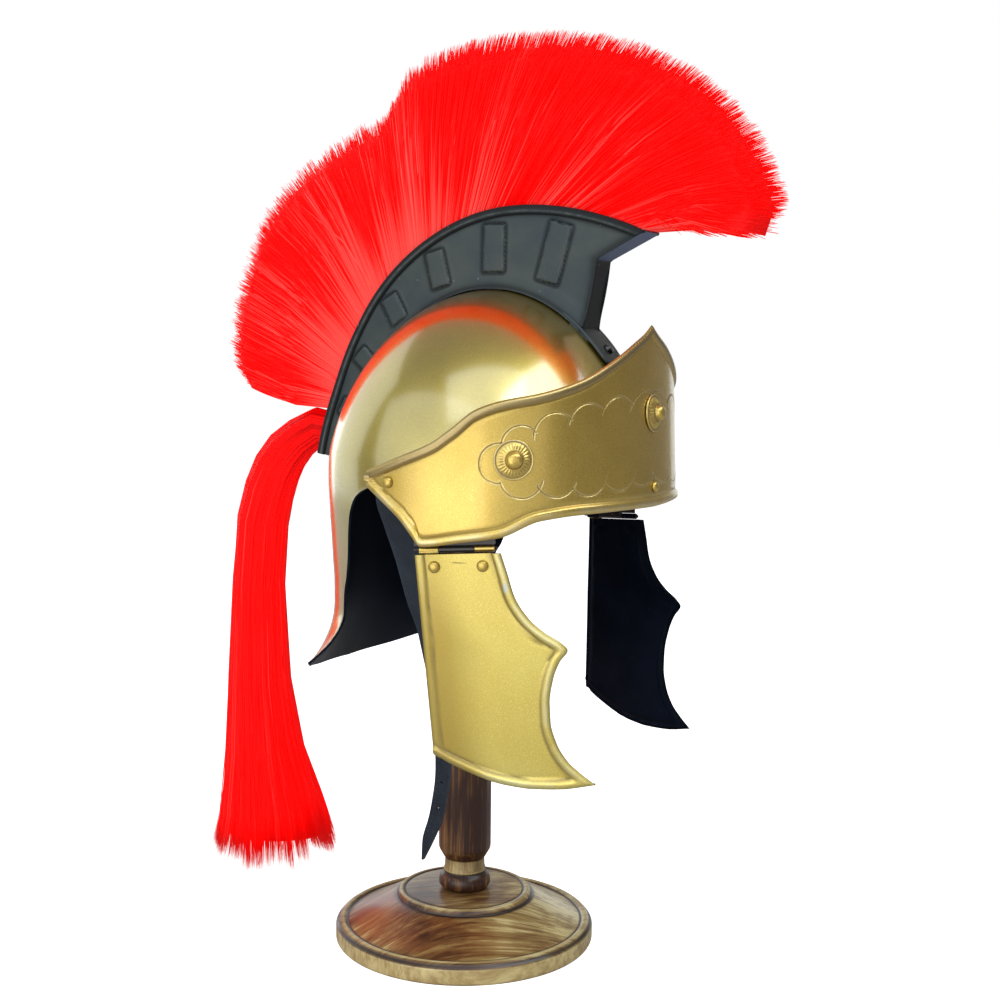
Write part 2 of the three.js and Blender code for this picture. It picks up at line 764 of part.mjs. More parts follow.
const lockGroove = 0.16;         // how much thinner

// Half widths of the brush by the share of the bristle's length
const brushWidths = [
  { share: 0, width: 0.44 },
  { share: 0.2, width: 0.62 },
  { share: 0.6, width: 0.92 },
  { share: 0.9, width: 1 },
  { share: 1, width: 0.55 },
];

function brushSolid() {
  const rootHalf = crestHalfWidth - crestSheet - seatGap;
  const stations = [...Array(fanLocks * 2 + 1).keys()].map((i) => i / (fanLocks * 2));
  const rings = stations.map((along, i) => {
    const edge = i % 2 === 0 ? 1 : 0;
    const rootAngle = fanFrontRoot + (fanRearRoot - fanFrontRoot) * along;
    const tipAngle = lookUp(fanTips, 'along', 'angle', along);
    const reach = fanReach * lookUp(fanTips, 'along', 'reach', along) * (1 - lockNotch * edge);
    const root = crestPoint(0, rootAngle, crestReach(rootAngle));
    const seat = crestPoint(0, rootAngle, crestReach(rootAngle) - brushDepth);
    const tip = crestPoint(0, tipAngle, reach);
    const side = [[rootHalf, seat], ...brushWidths.map(({ share, width }) => {
      const groove = share > 0.1 ? 1 - lockGroove * edge : 1;
      const half = Math.max(rootHalf, fanHalfWidth * width * groove);
      return [share === 0 ? rootHalf : half, root.clone().lerp(tip, share)];
    })];
    const put = (sign) => ([half, at]) => new THREE.Vector3(sign * half, at.y, at.z);
    return [...side.map(put(1)), ...side.slice().reverse().map(put(-1))];
  });
  const flat = rings[0].map((p) => new THREE.Vector2(p.x, -p.y));
  const fan = loftSolid(rings, flat);
  return fan.intersect(brushRoom());
}

// Room for the brush: behind the channel's front sheet, and above its tip
const tipCover = 6;
const tipLift = 2.5;

function brushRoom() {
  return unite([
    behindFront(crestSheet + seatGap),
    throughWidth([
      [crestTip.y - fanReach, crestTip.z + seatGap],
      [crestTip.y + tipCover, crestTip.z + tipLift],
      [crestTip.y + tipCover, crestTip.z + fanReach],
      [crestTip.y - fanReach, crestTip.z + fanReach],
    ], cutDepth),
  ]);
}

// Hank of hair, from its root: shares of its set-back, its length and its half depth
const hairRoute = [
  { back: 0.152, drop: -0.015, depth: 0.43 },
  { back: 0.448, drop: 0.011, depth: 0.68 },
  { back: 0.72, drop: 0.079, depth: 0.82 },
  { back: 0.848, drop: 0.151, depth: 0.93 },
  { back: 0.96, drop: 0.279, depth: 1.05 },
  { back: 1, drop: 0.494, depth: 1.16 },
  { back: 0.976, drop: 0.679, depth: 1.45 },
  { back: 0.936, drop: 0.785, depth: 1.75 },
  { back: 0.864, drop: 0.906, depth: 2.25 },
  { back: 0.832, drop: 1, depth: 2.45 },
];
const hairSides = 10;
const hairFlatness = 0.68;       // width across against depth
const hairRootAngle = 71.6;
const hairRootShare = 0.36;

function hairSolid() {
  const start = crestPoint(0, hairRootAngle, crestReach(hairRootAngle) - hairDepth);
  const rootHalf = crestHalfWidth - crestSheet - seatGap;
  const mid = hairRoute.map(({ back, drop }) => (
    new THREE.Vector3(0, start.y + back * hairSetBack, start.z - drop * hairLength)
  ));
  const centres = [start, ...mid];
  const shares = [hairRootShare, ...hairRoute.map(({ depth }) => depth)];
  const halves = shares.map((share) => share * hairHalfDepth);
  const rings = centres.map((centre, i) => {
    const before = centres[Math.max(0, i - 1)];
    const after = centres[Math.min(centres.length - 1, i + 1)];
    const along = after.clone().sub(before).normalize();
    if (i === centres.length - 1) along.set(0, 0, -1);
    const across = new THREE.Vector3(1, 0, 0);
    const deep = new THREE.Vector3().crossVectors(across, along);
    const halfAcross = i < 2 ? rootHalf * 0.96 : Math.max(rootHalf, halves[i] * hairFlatness);
    return [...Array(hairSides).keys()].map((j) => {
      const turn = 2 * Math.PI * (j + 0.5) / hairSides;
      return centre.clone()
        .addScaledVector(across, halfAcross * Math.cos(turn))
        .addScaledVector(deep, halves[i] * Math.sin(turn));
    });
  });
  const flat = [...Array(hairSides).keys()].map((j) => {
    const turn = 2 * Math.PI * (j + 0.5) / hairSides;
    return new THREE.Vector2(Math.cos(turn), Math.sin(turn));
  });
  return loftSolid(rings, flat);
}

// Chin strap, from the side rivet: shares of its length down, of its way in, of its sway to the
// back, and of its width
const strapRoute = [
  { down: -0.041, inward: 0.029, sway: -0.01, width: 0.95 },
  { down: 0, inward: 0, sway: 0.01, width: 1 },
  { down: 0.041, inward: 0.011, sway: 0.165, width: 1 },
  { down: 0.113, inward: 0.119, sway: 0.075, width: 1 },
  { down: 0.201, inward: 0.234, sway: -0.105, width: 1 },
  { down: 0.302, inward: 0.368, sway: -0.21, width: 0.95 },
  { down: 0.384, inward: 0.483, sway: -0.345, width: 0.89 },
  { down: 0.518, inward: 0.655, sway: -0.32, width: 0.7 },
  { down: 0.701, inward: 0.828, sway: -0.2, width: 0.54 },
  { down: 0.761, inward: 0.866, sway: -0.13, width: 0.51 },
  { down: 0.83, inward: 0.904, sway: 0.035, width: 0.48 },
  { down: 0.887, inward: 0.943, sway: 0.23, width: 0.46 },
  { down: 0.931, inward: 0.962, sway: 0.44, width: 0.33 },
  { down: 1, inward: 1, sway: 0.705, width: 0.08 },
];
const strapHoles = [0.712, 0.776, 0.85];

const strapTop = bowlPoint(sideRivet.angle, spotZ(sideRivet), -bowlWall - seatGap - strapThickness / 2);
strapTop.x += strapClearance;

function strapPoint(down) {
  const inward = lookUp(strapRoute, 'down', 'inward', down) * strapInward;
  const sway = lookUp(strapRoute, 'down', 'sway', down) * strapSway;
  return strapTop.clone().add(new THREE.Vector3(inward, sway, -down * strapLength));
}

function strapSolid() {
  const thin = strapThickness / 2;
  const rings = strapRoute.map(({ down, width }) => {
    const middle = strapPoint(down);
    const wide = strapWidth * width / 2;
    return [[-thin, -wide], [thin, -wide], [thin, wide], [-thin, wide]]
      .map(([dx, dy]) => middle.clone().add(new THREE.Vector3(dx, dy, 0)));
  });
  const flat = [[-1, -1], [1, -1], [1, 1], [-1, 1]].map(([x, y]) => new THREE.Vector2(x, y));
  const across = new THREE.Vector3(1, 0, 0);
  const holes = strapHoles.map((down) => placed(
    rodSolid(strapHoleRadius, boreLength, 8),
    strapPoint(down),
    across,
  ));
  return loftSolid(rings, flat).subtract(unite(holes)).subtract(bandBore(sideRivet));
}

// Cheek guard in its hinge's own frame: X along the pin from the rear, Y up, Z outward

const guardFront = [
  [1, 0], [1.06, 0.085], [1.125, 0.183], [1.28, 0.282], [1.45, 0.34], [1.635, 0.386],
  [1.7, 0.415], [1.602, 0.464], [1.512, 0.54], [1.456, 0.647], [1.454, 0.723],
  [1.506, 0.814], [1.626, 0.897], [1.77, 0.95], [1.935, 1],
];
const guardBack = [
  [1.485, 1.021], [1.21, 1.02], [0.937, 1.007], [0.698, 0.985], [0.479, 0.951], [0.26, 0.913],
  [0.05, 0.866], [0, 0],
];

// Clearance of the guard's top edge, and of its faces, from the barrel
const guardTopGap = 0.2;
const cheekRivetSpots = [cheekRivetInset, guardTopEdge - cheekRivetInset];

function guardOutline() {
  return [...guardFront, ...guardBack].map(([along, down]) => [
    along * guardTopEdge,
    -barrelRadius - guardTopGap - down * guardLength,
  ]);
}

// Moves each side of an outline in by a distance; its top edge stays where it is
function insetOutline(outline, distance) {
  const count = outline.length;
  return outline.map(([x, y], i) => {
    const [px, py] = outline[(i + count - 1) % count];
    const [nx, ny] = outline[(i + 1) % count];
    const before = new THREE.Vector2(x - px, y - py).normalize();
    const after = new THREE.Vector2(nx - x, ny - y).normalize();
    const flatBefore = i === 0;
    const flatAfter = i === count - 1;
    const a = new THREE.Vector2(before.y, -before.x).multiplyScalar(flatBefore ? 0 : distance);
    const b = new THREE.Vector2(after.y, -after.x).multiplyScalar(flatAfter ? 0 : distance);
    const turn = before.cross(after);
    if (Math.abs(turn) < 0.02) return [x + (a.x + b.x) / 2, y + (a.y + b.y) / 2];
    const shift = ((b.x - a.x) * after.y - (b.y - a.y) * after.x) / turn;
    return [x + a.x + before.x * shift, y + a.y + before.y * shift];
  });
}

const guardInnerFace = barrelRadius + guardTopGap;
const guardOuterFace = guardInnerFace + guardWall;
const leafOuterFace = guardInnerFace - seatGap;
const leafInnerFace = leafOuterFace - leafSheet;

function guardSolid() {
  const outline = guardOutline();
  const plate = plateSolid(outline, guardInnerFace, guardOuterFace);
  const top = outline[0][1];
  const panel = insetOutline(outline, guardRimWidth);
  panel[0] = [panel[0][0], top + weld];
  panel[panel.length - 1] = [panel[panel.length - 1][0], top + weld];
  const rim = plateSolid(outline, guardOuterFace - weld, guardOuterFace + guardRimHeight)
    .subtract(plateSolid(panel, guardInnerFace, guardOuterFace + guardRimHeight + weld));
  const bores = cheekRivetSpots.map((along) => boreSolid().translate([along, -cheekRivetDrop, 0]));
  return plate.add(rim).subtract(unite(bores));
}

const barrelLength = rearKnuckle + midKnuckle + frontKnuckle + 2 * seatGap;
const barrelStart = -barrelOverhang;
const midStart = barrelStart + rearKnuckle + seatGap;
const frontStart = midStart + midKnuckle + seatGap;

function knuckleSolid(start, length) {
  const rod = rodSolid(barrelRadius, length, 10).rotate([0, 90, 0]);
  return rod.translate([start + length / 2, 0, 0]);
}

function pinBore() {
  const rod = rodSolid(pinRadius + boreGap, barrelLength + boreLength, 8).rotate([0, 90, 0]);
  return rod.translate([barrelStart + barrelLength / 2, 0, 0]);
}

function lowerLeafSolid() {
  const end = barrelStart + barrelLength;
  const knuckles = knuckleSolid(barrelStart, rearKnuckle).add(knuckleSolid(frontStart, frontKnuckle));
  const high = -barrelRadius - seatGap;
  const sheet = boxSolid([barrelStart, -leafDrop, leafInnerFace], [end, high, leafOuterFace]);
  const ears = [[barrelStart, rearKnuckle], [frontStart, frontKnuckle]].map(([start, length]) => (
    boxSolid([start, high - weld, leafInnerFace], [start + length, 0, leafOuterFace])
  ));
  const bores = cheekRivetSpots.map((along) => boreSolid().translate([along, -cheekRivetDrop, 0]));
  return unite([knuckles, sheet, ...ears]).subtract(unite([pinBore(), ...bores]));
}

function pinSolid() {
  const neck = barrelLength + seatGap;
  const pin = turnedSolid([
    [0, 0],
    [pinRadius, 0],
    [pinRadius, neck],
    [pinRadius * 1.5, neck],
    [pinRadius * 1.3, neck + pinHeadLength],
    [0, neck + pinHeadLength * 1.3],
  ], 8);
  return pin.rotate([0, 90, 0]).translate([barrelStart, 0, 0]);
}

function cheekRivetSolid(along) {
  const grip = guardWall + leafSheet + 3 * seatGap;
  return rivetSolid(grip, 8).translate([along, -cheekRivetDrop, guardOuterFace + seatGap]);
}

// Hinge frame of the wearer's right guard; the left one is its mirror image
function hingeFrame() {
  const toe = radians(hingeToeIn);
  const rise = radians(hingeRise);
  const along = new THREE.Vector3(
    Math.sin(toe) * Math.cos(rise),
    -Math.cos(toe) * Math.cos(rise),
    Math.sin(rise),
  );
  const level = new THREE.Vector3(-Math.cos(toe), -Math.sin(toe), 0);
  const up = new THREE.Vector3().crossVectors(level, along);
  const frame = new THREE.Matrix4().makeBasis(along, up, level);
  return frame.setPosition(planPoint(hingeAngle, bandCornerZ - hingeDrop, -hingeInset));
}

const hangingFrame = hingeFrame().multiply(new THREE.Matrix4().makeRotationX(radians(guardTilt)));

// The fixed leaf rises inside the band and is soldered to it: its block follows the band's curve
function upperLeafSolid() {
  const end = barrelStart + barrelLength;
  const reach = hingeInset + bandBulge + bandWall;
  const low = barrelRadius + seatGap;
  const back = -barrelRadius;
  const sheet = boxSolid([barrelStart, low, back], [end, leafRise, back + leafSheet]);
  const tongue = boxSolid([midStart, 0, back], [midStart + midKnuckle, low + leafSheet, back + leafSheet]);
  const block = boxSolid([barrelStart, leafRise * leafBlockShare, back], [end, leafRise, reach]);
  const leaf = unite([knuckleSolid(midStart, midKnuckle), sheet, tongue, block]).subtract(pinBore());
  return leaf.transform(hingeFrame().elements).subtract(bandCutter());
}

// Everything outside the band's inner face, with the seat's clearance
function bandCutter() {
  return sheetSolid(bandGrid(cutDepth, false), bandGrid(-seatGap, false), false);
}

// Solids of the wearer's right side that the left side mirrors
function sidePieces() {
  const hung = hangingFrame.elements;
  return [
    { name: 'cheek_guard', solid: guardSolid().transform(hung), material: warmGold },
    { name: 'hinge_lower_leaf', solid: lowerLeafSolid().transform(hung), material: warmGold },
    { name: 'hinge_upper_leaf', solid: upperLeafSolid(), material: blackPaint },
    { name: 'hinge_pin', solid: pinSolid().transform(hingeFrame().elements), material: warmGold },
    ...cheekRivetSpots.map((along, i) => ({
      name: i === 0 ? 'cheek_rivet_rear' : 'cheek_rivet_front',
      solid: cheekRivetSolid(along).transform(hung),
      material: warmGold,
    })),
  ];
}

// Height of the post's round head: as high as its sphere goes under the bowl's sloping inside
function postTopZ() {
  const clear = postRadius + headClearance;
  const centres = [...Array(60).keys()].map((i) => {
    const turn = Math.PI * i / 120;
    const y = bowlCentreY + (bowlHalfLength - bowlWall) * Math.sin(turn);
    const z = bowlWidestZ + (bowlCrownHeight - bowlWall) * Math.cos(turn);
    return Math.abs(y) < clear ? z - Math.sqrt(clear ** 2 - y ** 2) : Infinity;
  });
  return Math.min(...centres) + postRadius;
}

function postSolid() {
  const top = postTopZ();
  const foot = baseHeight + seatGap;
  const steps = [0.25, 0.5, 0.75].map((share) => {
    const turn = share * Math.PI / 2;
    return [postRadius * Math.cos(turn), top - postRadius + postRadius * Math.sin(turn)];
  });
  const spigotFoot = baseHeight - spigotDepth + seatGap;
  return turnedSolid([
    [0, spigotFoot],
    [spigotRadius, spigotFoot],
    [spigotRadius, foot],
    [collarRadius * 0.82, foot],
    [collarRadius * 0.97, foot + collarHeight * 0.21],
    [collarRadius, foot + collarHeight * 0.49],
    [collarRadius * 0.95, foot + collarHeight * 0.81],
    [collarRadius * 0.8, foot + collarHeight],
    [neckRadius, foot + collarHeight * 1.23],
    [neckRadius * 0.98, foot + neckTop],
    [postRadius, foot + shoulderTop],
    [postRadius, top - postRadius],
    ...steps,
    [0, top],
  ], 20);
}

function baseSolid() {
  const beadTop = baseEdgeHeight + rimBeadHeight;
  const domeFoot = baseRadius - rimBeadInset - rimBead - rimGroove;
  const domeHeight = baseHeight - plateauStep - beadTop + rimGroove * 0.4;
  return turnedSolid([
    [0, 0],
    [baseRadius - baseRound, 0],
    [baseRadius, baseRound],
    [baseRadius, baseEdgeHeight],
    [baseRadius - rimBeadInset, beadTop - rimBeadHeight * 0.08],
    [baseRadius - rimBeadInset - rimBead, beadTop],
    [domeFoot, beadTop - rimGroove * 0.4],
    [domeFoot - (domeFoot - plateauRadius) * 0.48, beadTop + domeHeight * 0.46],
    [plateauRadius, baseHeight - plateauStep],
    [plateauRadius - plateauBead * 0.3, baseHeight - plateauStep * 0.14],
    [plateauRadius - plateauBead, baseHeight],
    [plateauRadius - plateauBead - plateauGroove, baseHeight - plateauGrooveDepth],
    [(plateauRadius + spigotRadius) * 0.38, baseHeight],
    [spigotRadius + boreGap, baseHeight],
    [spigotRadius + boreGap, baseHeight - spigotDepth],
    [0, baseHeight - spigotDepth],
  ], 32);
}

function bandSolid() {
  const sheet = sheetSolid(bandGrid(bandWall, true), bandGrid(0, false), false);
  return sheet.subtract(unite(bandSpots.map(({ spot }) => bandBore(spot))));
}

function drilledBowl() {
  const crestBore = placed(boreSolid(), tabRivetPlace, tabRivetDirection);
  const spots = [sideRivet, otherSide(sideRivet), frontRivet];
  return bowlSolid().subtract(unite([crestBore, ...spots.map(bandBore)]));
}

function tabRivetSolid() {
  const grip = tabSheet + tabSeat + bowlWall + domeSlack;
  const place = frontPoint(0, tabRivetUp, tabSeat + tabSheet + seatGap);
  return placed(rivetSolid(grip, 8), place, tabRivetDirection);
}

const helmet = new THREE.Group();
helmet.add(
  piece('stand_base', baseSolid(), stainedWood),
  piece('stand_post', postSolid(), stainedWood),
  piece('bowl', drilledBowl(), goldPaint),
  piece('brow_band', bandSolid(), warmGold),
  piece('crest_holder', crestHolderSolid(), blackPaint),
  piece('crest_tab_rivet', tabRivetSolid(), blackPaint),
  piece('plume_brush', brushSolid(), redHair),
  piece('plume_tail', hairSolid(), redHair),
  piece('chin_strap', strapSolid(), darkLeather),
);
for (const { name, spot, grip, make, sides } of bandSpots) {
  helmet.add(piece(name, bandFastener(spot, grip, make, sides), warmGold));
}
for (const { name, solid, material } of sidePieces()) {
  helmet.add(piece(`${name}_right`, solid, material));
  helmet.add(piece(`${name}_left`, solid.mirror([1, 0, 0]), material));
}

export default helmet;
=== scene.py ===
"""Looks of a centurion helmet with a standing red plume, on its turned wooden stand.

Sizes are in millimetres and become metres when a piece is finished. The wearer faces -Y and the
wearer's right side, the near one in the photograph, is -X.
"""

import logging
import math
from dataclasses import dataclass
from enum import Enum
from typing import Callable, Mapping, Optional, Sequence, Union

import bmesh
import bpy
import numpy as np
from mathutils import Matrix, Vector


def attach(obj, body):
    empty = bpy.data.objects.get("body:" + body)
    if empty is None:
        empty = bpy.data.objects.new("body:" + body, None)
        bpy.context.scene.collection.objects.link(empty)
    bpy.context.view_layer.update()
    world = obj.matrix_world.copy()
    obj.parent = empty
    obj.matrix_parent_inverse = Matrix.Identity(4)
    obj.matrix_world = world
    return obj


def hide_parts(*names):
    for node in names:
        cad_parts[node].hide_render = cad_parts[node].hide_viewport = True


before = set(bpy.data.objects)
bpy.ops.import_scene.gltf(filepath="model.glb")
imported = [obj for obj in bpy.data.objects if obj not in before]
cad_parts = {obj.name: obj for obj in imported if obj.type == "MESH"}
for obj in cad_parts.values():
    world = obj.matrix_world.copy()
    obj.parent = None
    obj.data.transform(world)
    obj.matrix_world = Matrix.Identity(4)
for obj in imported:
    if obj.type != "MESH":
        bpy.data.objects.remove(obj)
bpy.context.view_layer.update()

LOG = logging.getLogger("helmet")
MM = 0.001
UP = Vector((0.0, 0.0, 1.0))
SHARP = 38.0  # degrees between two faces from which their edge shows
BEVEL_FROM = 50.0  # degrees from which an edge is rounded
SAME_SPOT = 0.002  # distance below which two corners are one
NO_LENGTH = 0.0005  # length below which an edge is dropped

Colour = tuple[float, float, float]
Array = np.ndarray
Mesh = bmesh.types.BMesh
Place = Callable[[Array, Array], Array]


class Side(Enum):
    """The wearer's side; its value is the sign of X against the right side."""

    RIGHT = 1
    LEFT = -1


class Slot(Enum):
    """Material slots of the record."""

    BOWL = "gold_bowl"
    TRIM = "gold_trim"
    BLACK = "black_metal"
    HAIR = "red_hair"
    LEATHER = "dark_leather"
    WOOD = "stained_wood"


# ---- Shader expressions


class Wire:
    """A shader socket that takes part in arithmetic; each step becomes a Math node."""

    def __init__(self, recipe: "Recipe", socket: bpy.types.NodeSocket) -> None:
        """Keeps the socket and the recipe whose tree it is in."""
        self.recipe = recipe
        self.socket = socket

    def _math(self, operation: str, first: "Number", second: "Number") -> "Wire":
        """Returns a Math node of two values."""
        return self.recipe.node("ShaderNodeMath", {"operation": operation}, {0: first, 1: second})

    def __add__(self, other: "Number") -> "Wire":
        """self + other."""
        return self._math("ADD", self, other)

    def __radd__(self, other: "Number") -> "Wire":
        """other + self."""
        return self._math("ADD", other, self)

    def __sub__(self, other: "Number") -> "Wire":
        """self - other."""
        return self._math("SUBTRACT", self, other)

    def __rsub__(self, other: "Number") -> "Wire":
        """other - self."""
        return self._math("SUBTRACT", other, self)

    def __mul__(self, other: "Number") -> "Wire":
        """self * other."""
        return self._math("MULTIPLY", self, other)

    def most(self, other: "Number") -> "Wire":
        """The larger of self and other."""
        return self._math("MAXIMUM", self, other)

    def step(self, low: float, high: float) -> "Wire":
        """Rises smoothly from 0 at low to 1 at high; falls where low is above high.

        Args:
            low: where the step starts.
            high: where it is complete.

        Returns:
            The stepped wire.
        """
        falls = low > high
        edges = {1: high, 2: low, 3: 1.0, 4: 0.0} if falls else {1: low, 2: high, 3: 0.0, 4: 1.0}
        settings = {"interpolation_type": "SMOOTHSTEP"}
        return self.recipe.node("ShaderNodeMapRange", settings, {0: self, **edges})


Number = Union[float, Wire]


class Recipe:
    """A material in the making: a node tree around one Principled shader."""

    def __init__(self, name: str) -> None:
        """Starts an empty tree with an output and a Principled shader.

        Args:
            name: the material's name.
        """
        self.material = bpy.data.materials.new(name)
        self.material.use_nodes = True
        self.tree = self.material.node_tree
        self.tree.nodes.clear()
        self.shader = self.tree.nodes.new("ShaderNodeBsdfPrincipled")
        output = self.tree.nodes.new("ShaderNodeOutputMaterial")
        self.tree.links.new(self.shader.outputs[0], output.inputs[0])

    def node(
        self,
        kind: str,
        settings: Optional[Mapping[str, object]] = None,
        inputs: Optional[Mapping[Union[int, str], object]] = None,
        output: Union[int, str] = 0,
    ) -> Wire:
        """Makes a node.

        Args:
            kind: the node's type.
            settings: its properties; "stops" holds a ramp's (position, colour) pairs.
            inputs: socket by index or name, with a value or a Wire.
            output: the socket that is returned.

        Returns:
            The wire of that output.
        """
        made = self.tree.nodes.new(kind)
        for name, value in (settings or {}).items():
            if name == "stops":
                stops = made.color_ramp.elements
                while len(stops) < len(value):
                    stops.new(1.0)
                for stop, (position, colour) in zip(stops, value):
                    stop.position = position
                    stop.color = (*colour, 1.0)
            else:
                setattr(made, name, value)
        for key, value in (inputs or {}).items():
            self.feed(made.inputs[key], value)
        return Wire(self, made.outputs[output])

    def feed(self, socket: bpy.types.NodeSocket, value: object) -> None:
        """Links a wire to a socket, or sets the socket's own value.

        Args:
            socket: the socket.
            value: a wire, a number, a vector or a colour.
        """
        if isinstance(value, Wire):
            self.tree.links.new(value.socket, socket)
        elif isinstance(value, tuple) and socket.type == "RGBA":
            socket.default_value = (*value[:3], 1.0)
        else:
            socket.default_value = value

    def place(self, stretch: Sequence[float] = (1.0, 1.0, 1.0), turn: float = 0.0) -> Wire:
        """Object coordinates, turned about Z and stretched along each axis.

        Args:
            stretch: factor along X, Y and Z.
            turn: angle about Z in degrees.

        Returns:
            The vector's wire.
        """
        spot = self.node("ShaderNodeTexCoord", output="Object")
        angle = (0.0, 0.0, math.radians(turn))
        turned = self.node("ShaderNodeMapping", inputs={"Vector": spot, "Rotation": angle})
        return self.vector("MULTIPLY", turned, tuple(stretch))

    def vector(self, operation: str, first: Wire, second: object) -> Wire:
        """A step of vector arithmetic, with a vector or, for SCALE, a number as its second value."""
        inputs = {0: first, "Scale" if operation == "SCALE" else 1: second}
        return self.node("ShaderNodeVectorMath", {"operation": operation}, inputs)

    def noise(self, vector: Wire, scale: float, detail: float = 2.0, rough: float = 0.5) -> Wire:
        """Noise from 0 to 1 about a middle of 0.5."""
        inputs = {"Vector": vector, "Scale": scale, "Detail": detail, "Roughness": rough}
        return self.node("ShaderNodeTexNoise", inputs=inputs)

    def mark(self, name: str) -> Wire:
        """A float attribute of the mesh; 0 on a mesh without it."""
        return self.node("ShaderNodeAttribute", {"attribute_name": name}, output="Fac")

    def mix(self, share: Number, first: object, second: object) -> Wire:
        """A colour between two colours."""
        settings = {"data_type": "RGBA", "clamp_factor": True}
        return self.node("ShaderNodeMix", settings, {0: share, 6: first, 7: second}, output=2)

    def ramp(self, share: Wire, stops: Sequence[tuple[float, Colour]]) -> Wire:
        """A colour from a ramp of stops."""
        return self.node("ShaderNodeValToRGB", {"stops": stops}, {0: share})

    def bump(self, height: Wire, depth: float, strength: float = 1.0) -> Wire:
        """A normal from a height from 0 to 1 that stands for a depth in millimetres."""
        inputs = {"Height": height, "Distance": depth * MM, "Strength": strength}
        return self.node("ShaderNodeBump", inputs=inputs)

    def finish(self, **sockets: object) -> bpy.types.Material:
        """Feeds the shader's sockets, named with _ for a space, and returns the material.

        Args:
            sockets: a value or a wire for each socket.

        Returns:
            The finished material.
        """
        for name, value in sockets.items():
            self.feed(self.shader.inputs[name.replace("_", " ")], value)
        return self.material


# ---- Finishes


@dataclass(frozen=True)
class GoldPaint:
    """Gold paint with fine metal flakes; pale where it is raised (wear and a painted highlight), brown
    with painted shade in its hollows, and a painted dark reflection where marked.
    """

    name: str
    base: Colour
    deep: Colour
    worn_and_highlight: Colour = (0.74, 0.67, 0.42)
    grime_and_shade: Colour = (0.17, 0.115, 0.07)
    bare: Colour = (0.55, 0.58, 0.56)
    tan: Colour = (0.42, 0.27, 0.13)
    roughness: float = 0.34
    mottle: float = 0.3
    flake: float = 0.16
    lacquer: float = 0.5
    lacquer_roughness: float = 0.12
    lacquer_index: float = 1.5

    def make(self) -> bpy.types.Material:
        """Returns the material."""
        recipe = Recipe(self.name)
        spot = recipe.place()
        flake = recipe.noise(spot, 2300.0, 1.0)
        grain = recipe.noise(spot, 900.0, 2.0)
        cloud = recipe.noise(spot, 17.0, 3.0)
        patch = recipe.noise(spot, 60.0, 4.0, 0.6)
        colour = recipe.mix(cloud.step(0.35, 0.68), self.base, self.deep)
        light = tuple(min(1.0, part * 1.35 + 0.03) for part in self.base)
        colour = recipe.mix(flake.step(0.5, 0.72) * 0.55, colour, light)
        colour = recipe.mix(flake.step(0.46, 0.28) * 0.45, colour, self.deep)
        raised = recipe.mark("raised")
        hollow = recipe.mark("hollow")
        # Pale on raised places: partly wear, partly a painted highlight on bead crests and edges.
        colour = recipe.mix(raised * patch.step(0.3, 0.6) * 0.6, colour, self.worn_and_highlight)
        # A painted darker reflection on slopes and sides that face away from the light.
        colour = recipe.mix(recipe.mark("tan") * 0.75, colour, self.tan)
        # Mostly painted shade in hollows, grooves and along edges; the specks below are dirt.
        colour = recipe.mix(hollow * 0.75, colour, self.grime_and_shade)
        spots = recipe.noise(spot, 210.0, 2.0).step(0.77, 0.83)
        colour = recipe.mix(spots * 0.5, colour, self.grime_and_shade)
        colour = recipe.mix(recipe.mark("chip"), colour, self.bare)
        rough = self.roughness + (grain - 0.5) * self.mottle + (cloud - 0.5) * 0.12 + hollow * 0.2
        height = flake * 0.6 + grain * 0.4
        return recipe.finish(
            Base_Color=colour, Metallic=0.92, Roughness=rough.most(0.14),
            Normal=recipe.bump(height, self.flake, 0.35), Coat_Weight=self.lacquer,
            Coat_Roughness=self.lacquer_roughness, Coat_IOR=self.lacquer_index,
        )


@dataclass(frozen=True)
class Enamel:
    """Satin paint on sheet metal, with lighter lines where it is raised, partly wear and partly a painted
    highlight, and near-black painted shade where marked hollow.
    """

    name: str
    base: Colour
    sheen: Colour
    worn_and_highlight: Colour = (0.13, 0.15, 0.17)
    roughness: float = 0.38
    texture: float = 0.05
    gloss: float = 0.5
    tint: Colour = (1.0, 1.0, 1.0)
    coat: float = 0.2

    def make(self) -> bpy.types.Material:
        """Returns the material."""
        recipe = Recipe(self.name)
        spot = recipe.place()
        cloud = recipe.noise(spot, 28.0, 4.0, 0.6)
        fine = recipe.noise(spot, 700.0, 3.0)
        colour = recipe.mix(cloud.step(0.3, 0.72), self.base, self.sheen)
        # Lighter raised lines: partly wear, partly a painted highlight.
        raised = recipe.mark("raised") * recipe.noise(spot, 130.0, 4.0, 0.7).step(0.4, 0.62)
        colour = recipe.mix(raised * 0.5, colour, self.worn_and_highlight)
        # Near-black painted shade on rims, creases and dark borders.
        hollow = recipe.mark("hollow")
        colour = recipe.mix(hollow * 0.95, colour, (0.002, 0.003, 0.004))
        specks = recipe.noise(spot, 330.0, 1.0).step(0.76, 0.8)
        colour = recipe.mix(specks * 0.5, colour, self.worn_and_highlight)
        rough = self.roughness + (cloud - 0.5) * 0.22 + (fine - 0.5) * 0.12 + hollow * 0.4
        return recipe.finish(
            Base_Color=colour, Roughness=rough, Normal=recipe.bump(fine, self.texture, 0.3),
            Specular_IOR_Level=self.gloss, Specular_Tint=self.tint,
            Coat_Weight=(1.0 - hollow) * self.coat, Coat_Roughness=0.3,
        )


